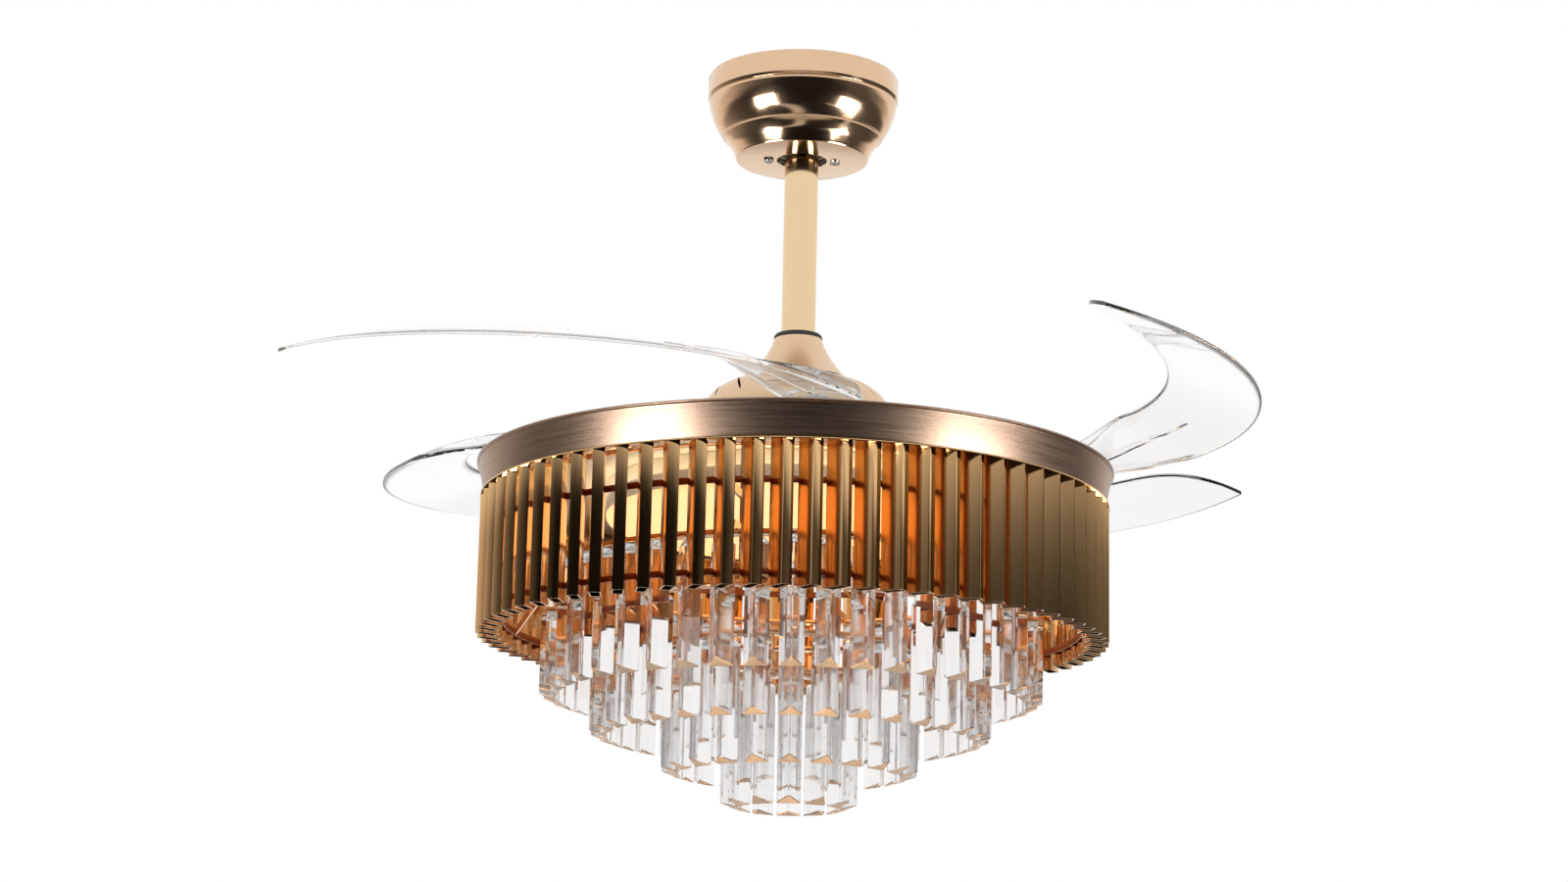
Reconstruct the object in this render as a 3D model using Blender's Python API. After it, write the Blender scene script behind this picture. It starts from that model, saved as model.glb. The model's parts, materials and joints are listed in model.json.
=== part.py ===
"""Chandelier ceiling fan with four folding blades and a fluted crystal shade.

Metres, +Z up. The origin is the centre of the ceiling bracket's top face, so
the whole fan hangs below z = 0. The front of the fan faces -Y.
"""
import math

import bmesh
import bpy
import numpy as np
from mathutils import Matrix, Vector

# Clearances shared by all pieces
GAP = 0.0003
RUN_GAP = 0.0008
JOINT_GAP = 0.0007
CUT = 0.004

# Ceiling bracket, receiver and ball joint
BRACKET_HALF = 0.043
BRACKET_WIDTH = 0.038
BRACKET_SHEET = 0.002
BRACKET_SLOT_X = 0.030
BRACKET_SLOT_RADIUS = 0.003
BRACKET_SLOT_LENGTH = 0.014
WIRE_HOLE_X = 0.015
WIRE_HOLE_RADIUS = 0.005
RECEIVER_SIZE = (0.070, 0.030, 0.015)
BALL_RADIUS = 0.026
BALL_TOP_CUT = 0.015
BALL_BOTTOM_CUT = 0.019
LINER_SHEET = 0.0015
LINER_ARC = (math.radians(100), math.radians(133))
SEAT_ARC = (math.radians(98), math.radians(136))
SEAT_SHEET = 0.0020
SEAT_HOLE_RADIUS = 0.0205
BALL_PIN_RADIUS = 0.003
BALL_PIN_HALF = 0.0245

# Canopy
CANOPY_TOP_GAP = 0.001
CANOPY_RADIUS = 0.0778
CANOPY_HEIGHT = 0.069
CANOPY_SHEET = 0.001
CANOPY_HOLE_RADIUS = 0.0205
CANOPY_FLOOR_GAP = 0.001
CANOPY_OUTER_SHARES = [(0.985, 0.0), (1.0, 0.03), (1.0, 0.265), (0.972, 0.285), (0.99, 0.33),
                       (0.978, 0.42), (0.945, 0.52), (0.872, 0.685), (0.855, 0.70),
                       (0.838, 0.76), (0.79, 0.85), (0.665, 1.0)]
CANOPY_INNER_SHARES = [(0.65, 0.985), (0.77, 0.82), (0.92, 0.50), (0.95, 0.40), (0.95, 0.0)]
CANOPY_SCREW_X = 0.027
SCREW_HEAD_RADIUS = 0.0040
SCREW_HEAD_HEIGHT = 0.0022
SCREW_SHANK_RADIUS = 0.0020
SCREW_SHANK_LENGTH = 0.0050
KEY_SLOT_RADIUS = 0.0023
KEY_ROUND_RADIUS = 0.0045
KEY_SLOT_RUN = 0.008

# Downrod, coupling and bell cover
ROD_RADIUS = 0.0138
ROD_WALL = 0.0015
ROD_EXPOSED = 0.1475
ROD_ABOVE_BALL = 0.002
GROMMET_RADIUS = 0.0195
GROMMET_HEIGHT = 0.004
BELL_HEIGHT = 0.0337
BELL_TOP_RADIUS = 0.0192
BELL_BOTTOM_RADIUS = 0.0410
BELL_WAIST_RADIUS = 0.0245
BELL_WALL = 0.0016
BELL_STEPS = 6
COUPLING_RADIUS = 0.0172
COUPLING_LOWER_HEIGHT = 0.0135
COUPLING_HEIGHT = 0.028
COUPLING_PIN_RADIUS = 0.0025
COUPLING_PIN_RISE = 0.0225
SET_SCREW_RADIUS = 0.002
SET_SCREW_RISE = 0.006

# Motor
ROTOR_RADIUS = 0.0760
ROTOR_UPPER_HEIGHT = 0.046
ROTOR_LOWER_HEIGHT = 0.0334
ROTOR_SHEET = 0.0025
ROTOR_CROWN_RADIUS = 0.038
ROTOR_SHOULDER_DROP = 0.032
ROTOR_SHOULDER_SHARE = 0.838
ROTOR_VENT_COUNT = 6
ROTOR_VENT_INSET = 0.020
ROTOR_VENT_LENGTH = 0.013
ROTOR_VENT_WIDTH = 0.0028
BEARING_RADIUS = 0.0150
BEARING_HEIGHT = 0.009
BEARING_INSET = 0.001
SHAFT_RADIUS = 0.0090
SHAFT_BORE = 0.0062
STATOR_HEIGHT = 0.022
STATOR_RISE = 0.025
STATOR_TEETH = 6
STATOR_SLOT_DEPTH = 0.029
STATOR_NECK_HALF = 0.005
STATOR_SHOE_DEPTH = 0.0078
STATOR_SHOE_SHARE = 0.40
COIL_HUB_GAP = 0.0035
COIL_SHOE_GAP = 0.0035
COIL_SHEET = 0.0040
MAGNET_SHEET = 0.0042
MAGNET_AIR_GAP = 0.0012
MAGNET_HEIGHT = 0.024
SHELL_STAKE_RADIUS = 0.040
STAKE_RADIUS = 0.0022
STAKE_HEAD_RADIUS = 0.0040
STAKE_HEAD_HEIGHT = 0.0016
LEAD_RADIUS = 0.0020

# Blade tray, synchronising gear and blade hubs
TRAY_ROOM = 0.0088
TRAY_MARGIN = 0.028
TRAY_BORE = 0.022
TRAY_SHEET = 0.002
TRAY_RECESS = 0.006
BLADE_COUNT = 4
BLADE_TURN = math.radians(4.4)
RING_TEETH = 96
HUB_TEETH = 24
HUB_ARC_TEETH = 6
RING_ARC_TEETH = 6
RING_BACK_STEPS = 8
RING_RIM = 0.01415
GEAR_FACE = 0.004
ADDENDUM_SHARE = 0.80
DEDENDUM_SHARE = 1.10
TOOTH_SHARE = 0.45
FLANK_SLOPE = math.tan(math.radians(20))
FOLD_ANGLE = math.radians(53.8)
GUIDE_WIDTH = 0.006
GUIDE_LIP = 0.003
GUIDE_LIP_HEIGHT = 0.0014
HUB_HEIGHT = 0.0119
HUB_BOSS_RADIUS = 0.0170
POCKET_RADIUS = 0.0110
POCKET_HEIGHT = 0.0078
BOLT_RADIUS = 0.0030
BOLT_HEAD_RADIUS = 0.0068
BOLT_HEAD_HEIGHT = 0.0036
RIVET_RADIUS = 0.0050
RIVET_HEIGHT = 0.0016
PEG_RADIUS = 0.0020
PEG_HEIGHT = 0.0046
PEG_ARM = 0.0125
SPRING_RADIUS = 0.0075
SPRING_WIRE = 0.0006
SPRING_TURNS = 2
SPRING_TURN_POINTS = 8
SPRING_HEIGHT = 0.0050

# Blades
BLADE_SHEET = 0.003
BLADE_INSET = 0.0028
BLADE_HALF_WIDTH = 0.0348
BLADE_TIP_ANGLE = math.radians(121.5)
BLADE_HEEL_ANGLE = math.radians(9.5)
BLADE_ROOT_OFFSET = 0.004
BLADE_ROOT_HALF = 0.027
BLADE_ROOT_ANGLE = math.radians(31)
BLADE_RISE = 0.0285
BLADE_SLOPE = math.tan(math.radians(18.7))
BLADE_SLOPE_SHARES = (0.0, 0.24)
BLADE_TAPER_POWER = 14
BLADE_STEPS = 16
BLADE_RIBS = 3
CUP_RADIUS = 0.0268
CUP_WALL = 0.0022
CUP_HEIGHT = 0.0055

# Light kit body
SHADE_RADIUS = 0.250
RING_INSET = 0.0032
RING_FLARE = 0.0052
RING_HEIGHT = 0.028
RING_SHEET = 0.0012
RING_BEAD = 0.0016
RING_BEAD_SLOPE = 0.0008
PAN_RECESS = 0.0125
PAN_SHEET = 0.0015
PAN_NUT_RADIUS = 0.0150
PAN_NUT_HEIGHT = 0.006
SHAFT_BELOW_NUT = 0.003

# Fluted strips and their hoops
STRIP_COUNT = 72
STRIP_WIDTH = 0.009
STRIP_DEPTH = 0.018
STRIP_SHEET = 0.0009
STRIP_LENGTH = 0.1085
STRIP_SLANT = math.radians(36)
STRIP_FIRST_ANGLE = math.radians(-91.9)
HOOP_WIDTH = 0.0020
HOOP_HEIGHT = 0.0050
HOOP_UPPER_DROP = 0.060
HOOP_LOWER_DROP = 0.127
HOOP_STEPS = 36
FLANGE_SHEET = 0.0012
FLANGE_MARGIN = 0.0010

# Crystal frame and crystals
ARM_COUNT = 4
ARM_FIRST_ANGLE = math.radians(-13)
ARM_SHEET = 0.003
ARM_BAR = 0.006
ARM_SPINE_INSET = 0.012
TIER_RADIUS_SHARES = (0.796, 0.634, 0.408, 0.218)
TIER_BOTTOM_DROPS = (0.186, 0.216, 0.2437, 0.269)
CRYSTAL_PITCH = 0.0288
CRYSTAL_LENGTH = 0.097
CRYSTAL_WIDTH = 0.020
CRYSTAL_DEPTH = 0.015
CRYSTAL_CUT = 0.006
CRYSTAL_RING_HEIGHT = 0.004
CRYSTAL_RING_WIDTH = 0.012
CRYSTAL_SHOULDER = 0.006
CRYSTAL_NECK_SHARE = 0.25

# Lamp
LED_HOUSING_INSET = 0.022
LED_HOUSING_HEIGHT = 0.024
LED_HOUSING_SHEET = 0.0012
LED_BOARD_INNER = 0.040
LED_BOARD_SHEET = 0.0016
LED_BOARD_LIFT = 0.003
DIFFUSER_SHEET = 0.002
DIFFUSER_BULGE = 0.010
DIFFUSER_SHARES = [(1.0, 0.0), (0.985, 0.35), (0.90, 0.62), (0.62, 0.88), (0.0, 1.0)]
DRIVER_SIZE = (0.070, 0.034, 0.014)
DRIVER_X = 0.062

# Facets of round pieces
FINE = 44
ROUND = 24
MEDIUM = 18
SMALL = 12
TINY = 8

# Levels, worked out from the ceiling down
canopy_top = -CANOPY_TOP_GAP
canopy_bottom = canopy_top - CANOPY_HEIGHT
bracket_floor = canopy_bottom + CANOPY_SHEET + CANOPY_FLOOR_GAP
seat_bottom = bracket_floor + BRACKET_SHEET + GAP
liner_outer = BALL_RADIUS + JOINT_GAP + LINER_SHEET
seat_inner = liner_outer + JOINT_GAP
ball_z = seat_bottom - seat_inner * math.cos(SEAT_ARC[1])
rod_top = ball_z + BALL_TOP_CUT + ROD_ABOVE_BALL
grommet_top = canopy_bottom - ROD_EXPOSED
bell_top = grommet_top - GROMMET_HEIGHT
bell_bottom = bell_top - BELL_HEIGHT
rotor_top = bell_bottom - RUN_GAP
coupling_bottom = rotor_top + RUN_GAP
rod_bottom = coupling_bottom + COUPLING_LOWER_HEIGHT + GAP
rotor_joint = rotor_top - ROTOR_UPPER_HEIGHT
rotor_bottom = rotor_joint - GAP - ROTOR_LOWER_HEIGHT
tray_top = rotor_bottom - GAP
tray_bottom = tray_top - TRAY_SHEET
ring_top = tray_bottom + TRAY_RECESS
ring_bottom = ring_top - RING_HEIGHT
pan_top = ring_top - PAN_RECESS
pan_bottom = pan_top - PAN_SHEET
gear_bottom = tray_top + GAP
gear_top = gear_bottom + GEAR_FACE
hub_top = gear_bottom + HUB_HEIGHT
blade_mid = hub_top + GAP + BLADE_SHEET / 2
strip_top = ring_bottom - GAP
strip_bottom = strip_top - STRIP_LENGTH
housing_top = pan_bottom - GAP
housing_bottom = housing_top - LED_HOUSING_HEIGHT
nut_top = housing_top - LED_HOUSING_SHEET - GAP
shaft_bottom = nut_top - PAN_NUT_HEIGHT - SHAFT_BELOW_NUT
ring_bottom_radius = SHADE_RADIUS - RING_INSET
ring_top_radius = ring_bottom_radius + RING_FLARE
blade_outer_radius = ring_top_radius - BLADE_INSET
tier_radii = [SHADE_RADIUS * share for share in TIER_RADIUS_SHARES]
arm_spine_radius = tier_radii[0] - CRYSTAL_DEPTH - ARM_SPINE_INSET
led_housing_radius = arm_spine_radius - LED_HOUSING_INSET
magnet_outer = ROTOR_RADIUS - ROTOR_SHEET - GAP
magnet_inner = magnet_outer - MAGNET_SHEET
stator_radius = magnet_inner - MAGNET_AIR_GAP
stator_shoe_radius = stator_radius - STATOR_SHOE_DEPTH
stator_hub_radius = stator_shoe_radius - STATOR_SLOT_DEPTH
coil_outer_radius = stator_shoe_radius - COIL_SHOE_GAP
coil_inner_radius = stator_hub_radius + COIL_HUB_GAP
rotor_vent_radius = ROTOR_RADIUS - ROTOR_VENT_INSET
tray_radius = ring_bottom_radius - TRAY_ROOM
pivot_radius = tray_radius - TRAY_MARGIN
gear_module = pivot_radius * 2 / (RING_TEETH + HUB_TEETH)
ring_pitch = gear_module * RING_TEETH / 2
hub_pitch = gear_module * HUB_TEETH / 2
ring_bore = ring_pitch - gear_module * DEDENDUM_SHARE - RING_RIM
hoop_outer = math.hypot(SHADE_RADIUS - STRIP_DEPTH * math.cos(STRIP_SLANT)
                        - STRIP_WIDTH * math.sin(STRIP_SLANT),
                        STRIP_WIDTH * math.cos(STRIP_SLANT)
                        - STRIP_DEPTH * math.sin(STRIP_SLANT)) - GAP
hoop_inner = hoop_outer - HOOP_WIDTH
crystal_middle = CRYSTAL_DEPTH * 2 / 3
blade_root_top = blade_mid + BLADE_SHEET / 2


def clear_scene():
    """Remove every object that the scene holds."""
    for item in list(bpy.data.objects):
        bpy.data.objects.remove(item, do_unlink=True)


def make_material(name, colour, roughness, metallic, alpha=1.0, transmission=0.0):
    """One Principled material of the given finish."""
    mat = bpy.data.materials.new(name)
    mat.use_nodes = True
    shader = mat.node_tree.nodes["Principled BSDF"]
    shader.inputs["Base Color"].default_value = (*colour, 1.0)
    shader.inputs["Roughness"].default_value = roughness
    shader.inputs["Metallic"].default_value = metallic
    shader.inputs["Alpha"].default_value = alpha
    shader.inputs["Transmission Weight"].default_value = transmission
    mat.diffuse_color = (*colour, alpha)
    return mat


def turned(x, y, angle):
    """A plan point turned about the fan's axis."""
    c, s = math.cos(angle), math.sin(angle)
    return (x * c - y * s, x * s + y * c)


def place(bm, verts, matrix):
    """Move new vertices to their place."""
    if matrix is not None:
        bmesh.ops.transform(bm, matrix=matrix, verts=verts)


def add_lathe(bm, profile, steps, matrix=None):
    """Turn a closed (radius, height) loop about Z into one ring-shaped body."""
    verts = [bm.verts.new((r, 0, z)) for r, z in profile]
    edges = [bm.edges.new((verts[i], verts[(i + 1) % len(verts)])) for i in range(len(verts))]
    before = set(bm.verts) - set(verts)
    bmesh.ops.spin(bm, geom=verts + edges, cent=(0, 0, 0), axis=(0, 0, 1),
                   angle=math.tau, steps=steps, use_merge=True, use_duplicate=False)
    place(bm, [v for v in bm.verts if v not in before], matrix)


def add_turned(bm, line, steps):
    """Turn an open (radius, height) line whose two ends are on the axis."""
    verts = [bm.verts.new((r, 0, z)) for r, z in line]
    edges = [bm.edges.new(pair) for pair in zip(verts, verts[1:])]
    bmesh.ops.spin(bm, geom=verts + edges, cent=(0, 0, 0), axis=(0, 0, 1),
                   angle=math.tau, steps=steps, use_merge=True, use_duplicate=False)
    bmesh.ops.remove_doubles(bm, verts=bm.verts, dist=GAP / 10)


def add_rod(bm, profile, steps, matrix=None):
    """Turn a stepped solid rod, given as (radius, height) pairs from one end to the other."""
    loops = []
    for r, z in profile:
        loops.append([bm.verts.new((r * math.cos(a), r * math.sin(a), z))
                      for a in (math.tau * k / steps for k in range(steps))])
    for low, high in zip(loops, loops[1:]):
        for k in range(steps):
            n = (k + 1) % steps
            bm.faces.new((low[k], low[n], high[n], high[k]))
    bm.faces.new(list(reversed(loops[0])))
    bm.faces.new(loops[-1])
    place(bm, [v for loop in loops for v in loop], matrix)


def add_tube(bm, outer, inner, vector):
    """Carry two matching loops of points along a vector: one open-ended tube."""
    rings = []
    for loop in (outer, inner):
        start = [bm.verts.new(p) for p in loop]
        end = [bm.verts.new(Vector(p) + Vector(vector)) for p in loop]
        rings.append((start, end))
    count = len(outer)
    for k in range(count):
        n = (k + 1) % count
        (oa, ob), (ia, ib) = rings
        bm.faces.new((oa[k], oa[n], ob[n], ob[k]))
        bm.faces.new((ia[n], ia[k], ib[k], ib[n]))
        bm.faces.new((oa[n], oa[k], ia[k], ia[n]))
        bm.faces.new((ob[k], ob[n], ib[n], ib[k]))


def add_prism(bm, outline, vector):
    """Carry one closed loop of points along a vector: one solid prism."""
    start = [bm.verts.new(p) for p in outline]
    face = bm.faces.new(start)
    top = bmesh.ops.extrude_face_region(bm, geom=[face])["geom"]
    moved = [v for v in top if isinstance(v, bmesh.types.BMVert)]
    bmesh.ops.translate(bm, vec=Vector(vector), verts=moved)


def add_box(bm, low, high):
    """A box between two corners."""
    outline = [(low[0], low[1], low[2]), (high[0], low[1], low[2]),
               (high[0], high[1], low[2]), (low[0], high[1], low[2])]
    add_prism(bm, outline, (0, 0, high[2] - low[2]))


def finish(name, bm, mat, smooth=math.radians(35), recalc=True):
    """Turn a bmesh into a named object."""
    if recalc:
        bmesh.ops.recalc_face_normals(bm, faces=bm.faces)
    mesh = bpy.data.meshes.new(name)
    bm.to_mesh(mesh)
    bm.free()
    item = bpy.data.objects.new(name, mesh)
    bpy.context.scene.collection.objects.link(item)
    if mat is not None:
        mesh.materials.append(mat)
    mesh.shade_smooth()
    mesh.set_sharp_from_angle(angle=smooth)
    return item


def lathe(name, profile, steps, mat):
    """One turned ring as its own object."""
    bm = bmesh.new()
    add_lathe(bm, profile, steps)
    return finish(name, bm, mat)


def cut(item, name, build):
    """Subtract a shape that build adds to a bmesh."""
    bm = bmesh.new()
    build(bm)
    tool = finish(name, bm, None)
    tool.hide_render = True
    tool.display_type = "WIRE"
    mod = item.modifiers.new(name, "BOOLEAN")
    mod.operation = "DIFFERENCE"
    mod.solver = "EXACT"
    mod.object = tool
    return tool


def join(item, name, build):
    """Fuse onto a piece the shape that build adds to a bmesh."""
    tool = cut(item, name, build)
    item.modifiers[name].operation = "UNION"
    return tool


def arc_points(radius, start, end, steps):
    """Points (radius, height) on a circle, by polar angle from +Z."""
    return [(radius * math.sin(a), radius * math.cos(a))
            for a in (start + (end - start) * k / steps for k in range(steps + 1))]


def circle_points(radius, steps, z, centre=(0, 0)):
    """Points of a level circle."""
    return [(centre[0] + radius * math.cos(math.tau * k / steps),
             centre[1] + radius * math.sin(math.tau * k / steps), z) for k in range(steps)]


def screw_profile(shank, head, length, head_height, z=0.0):
    """A screw pointing up from its head, as (radius, height) pairs."""
    return [(head * 0.75, z - head_height), (head, z - head_height * 0.5), (head, z),
            (shank, z), (shank, z + length)]


def build_materials():
    """All finishes, by slot name."""
    return {
        "polished_gold": make_material("polished_gold", (0.80, 0.55, 0.36), 0.12, 1.0),
        "satin_gold": make_material("satin_gold", (0.82, 0.63, 0.38), 0.32, 1.0),
        "champagne": make_material("champagne", (0.78, 0.60, 0.40), 0.45, 0.4),
        "brushed_gold": make_material("brushed_gold", (0.66, 0.43, 0.31), 0.28, 1.0),
        "strip_gold": make_material("strip_gold", (0.60, 0.45, 0.25), 0.15, 1.0),
        "steel": make_material("steel", (0.62, 0.62, 0.62), 0.35, 1.0),
        "white_metal": make_material("white_metal", (0.85, 0.85, 0.83), 0.5, 0.0),
        "black_rubber": make_material("black_rubber", (0.02, 0.02, 0.02), 0.7, 0.0),
        "nylon": make_material("nylon", (0.86, 0.85, 0.80), 0.5, 0.0),
        "black_plastic": make_material("black_plastic", (0.03, 0.03, 0.03), 0.45, 0.0),
        "copper": make_material("copper", (0.72, 0.35, 0.18), 0.35, 1.0),
        "magnet": make_material("magnet", (0.12, 0.12, 0.13), 0.5, 0.6),
        "clear_acrylic": make_material("clear_acrylic", (0.95, 0.96, 0.98), 0.03, 0.0, 0.35, 0.9),
        "crystal": make_material("crystal", (0.97, 0.97, 0.97), 0.01, 0.0, 0.4, 0.95),
        "opal": make_material("opal", (0.98, 0.93, 0.80), 0.4, 0.0),
        "board": make_material("board", (0.90, 0.90, 0.86), 0.5, 0.0),
    }


def build_bracket(mats):
    """Steel strap that screws to the ceiling and carries everything."""
    bm = bmesh.new()
    y = -BRACKET_WIDTH / 2
    half = BRACKET_HALF
    inner = half - BRACKET_SHEET
    low, high = bracket_floor, bracket_floor + BRACKET_SHEET
    outer_loop = [(-half, y, low), (half, y, low), (half, y, 0), (-half, y, 0)]
    inner_loop = [(-inner, y, high), (inner, y, high), (inner, y, -BRACKET_SHEET),
                  (-inner, y, -BRACKET_SHEET)]
    add_tube(bm, outer_loop, inner_loop, (0, BRACKET_WIDTH, 0))
    item = finish("ceiling_bracket", bm, mats["steel"])

    def holes(tool):
        add_rod(tool, [(SEAT_HOLE_RADIUS, low - CUT), (SEAT_HOLE_RADIUS, high + CUT)], MEDIUM)
        for side in (-1, 1):
            centre = (side * BRACKET_SLOT_X, 0)
            ends = []
            for k in range(TINY // 2 + 1):
                a = math.tau * k / TINY - math.pi / 2
                ends.append((centre[0] + BRACKET_SLOT_RADIUS * math.sin(a),
                             centre[1] + BRACKET_SLOT_LENGTH / 2 - BRACKET_SLOT_RADIUS
                             + BRACKET_SLOT_RADIUS * math.cos(a)))
            loop = ends + [(2 * centre[0] - px, 2 * centre[1] - py) for px, py in ends]
            add_prism(tool, [(px, py, -BRACKET_SHEET - CUT) for px, py in loop],
                      (0, 0, BRACKET_SHEET + 2 * CUT))
        place_hole = Matrix.Translation((WIRE_HOLE_X, 0, 0))
        add_rod(tool, [(WIRE_HOLE_RADIUS, -BRACKET_SHEET - CUT), (WIRE_HOLE_RADIUS, CUT)],
                TINY, place_hole)
        for side in (-1, 1):
            spot = Matrix.Translation((side * CANOPY_SCREW_X, 0, 0))
            add_rod(tool, [(SCREW_SHANK_RADIUS + GAP, low - CUT),
                           (SCREW_SHANK_RADIUS + GAP, high + CUT)], TINY, spot)

    cut(item, "bracket_holes", holes)


def build_receiver(mats):
    """Remote-control receiver clipped under the bracket's top plate."""
    bm = bmesh.new()
    sx, sy, sz = RECEIVER_SIZE
    top = -BRACKET_SHEET - GAP
    add_box(bm, (-sx / 2, -sy / 2, top - sz), (sx / 2, sy / 2, top))
    finish("receiver_box", bm, mats["nylon"])


def build_ball_joint(mats):
    """Seat, liner, ball and cross pin that let the rod hang plumb."""
    def at_ball(points):
        return [(r, ball_z + z) for r, z in points]

    seat_outer = seat_inner + SEAT_SHEET
    foot = math.pi - math.acos((ball_z - seat_bottom) / seat_outer)
    seat = at_ball(arc_points(seat_inner, SEAT_ARC[0], SEAT_ARC[1], 3)
                   + arc_points(seat_outer, foot, SEAT_ARC[0], 3))
    lathe("ball_seat", seat, MEDIUM, mats["steel"])
    liner_in = at_ball(arc_points(BALL_RADIUS + JOINT_GAP, LINER_ARC[0], LINER_ARC[1], 3))
    liner_out = at_ball(arc_points(liner_outer, LINER_ARC[1], LINER_ARC[0], 3))
    lathe("seat_liner", liner_in + liner_out, MEDIUM, mats["nylon"])

    bore = ROD_RADIUS + GAP
    top_angle = math.acos(BALL_TOP_CUT / BALL_RADIUS)
    low_angle = math.acos(-BALL_BOTTOM_CUT / BALL_RADIUS)
    ball = at_ball(arc_points(BALL_RADIUS, top_angle, low_angle, 6))
    ball += [(bore, ball_z - BALL_BOTTOM_CUT), (bore, ball_z + BALL_TOP_CUT)]
    ball_item = lathe("hanger_ball", ball, MEDIUM, mats["black_plastic"])
    cut(ball_item, "ball_pin_hole", cross_hole(BALL_PIN_RADIUS + GAP, BALL_RADIUS + CUT, ball_z))
    bm = bmesh.new()
    add_rod(bm, [(BALL_PIN_RADIUS, -BALL_PIN_HALF), (BALL_PIN_RADIUS, BALL_PIN_HALF)], TINY,
            Matrix.Translation((0, 0, ball_z)) @ Matrix.Rotation(math.pi / 2, 4, "Y"))
    finish("ball_pin", bm, mats["steel"])


def cross_hole(radius, half, z):
    """A cutter for a level hole along X."""
    def build(tool):
        add_rod(tool, [(radius, -half), (radius, half)], TINY,
                Matrix.Translation((0, 0, z)) @ Matrix.Rotation(math.pi / 2, 4, "Y"))
    return build


def build_canopy(mats):
    """Stepped bowl that covers the bracket, with two key-slots for its screws."""
    def scaled(shares):
        return [(CANOPY_RADIUS * r, canopy_top - CANOPY_HEIGHT * h) for r, h in shares]

    profile = scaled(CANOPY_OUTER_SHARES) + [(CANOPY_HOLE_RADIUS, canopy_bottom)]
    profile += [(CANOPY_HOLE_RADIUS, canopy_bottom + CANOPY_SHEET)] + scaled(CANOPY_INNER_SHARES)
    item = lathe("canopy", profile, ROUND, mats["polished_gold"])
    low, high = canopy_bottom - CUT, canopy_bottom + CANOPY_SHEET + CUT
    for side, name in ((-1, "left_slot"), (1, "right_slot")):
        x = side * CANOPY_SCREW_X
        cut(item, name, lambda tool: add_prism(tool, [(px, py, low) for px, py in key_slot(x, side)],
                                               (0, 0, high - low)))
    profile = screw_profile(SCREW_SHANK_RADIUS, SCREW_HEAD_RADIUS, SCREW_SHANK_LENGTH,
                            SCREW_HEAD_HEIGHT, canopy_bottom - GAP)
    for number, side in ((1, -1), (2, 1)):
        bm = bmesh.new()
        add_rod(bm, profile, TINY, Matrix.Translation((side * CANOPY_SCREW_X, 0, 0)))
        finish(f"canopy_screw_{number}", bm, mats["steel"])


def key_slot(x, side):
    """Plan outline of a key-hole: a narrow slot round the screw that opens into a round hole."""
    run = KEY_SLOT_RUN
    meet = math.asin(KEY_SLOT_RADIUS / KEY_ROUND_RADIUS)
    points = []
    for k in range(TINY + 1):
        a = -math.pi / 2 + meet + (math.tau - 2 * meet) * k / TINY
        points.append((KEY_ROUND_RADIUS * math.cos(a), run + KEY_ROUND_RADIUS * math.sin(a)))
    half = TINY // 2
    for k in range(half + 1):
        a = math.pi + math.pi * k / half
        points.append((KEY_SLOT_RADIUS * math.cos(a), KEY_SLOT_RADIUS * math.sin(a)))
    return [(x + px, side * py) for px, py in points]


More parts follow.
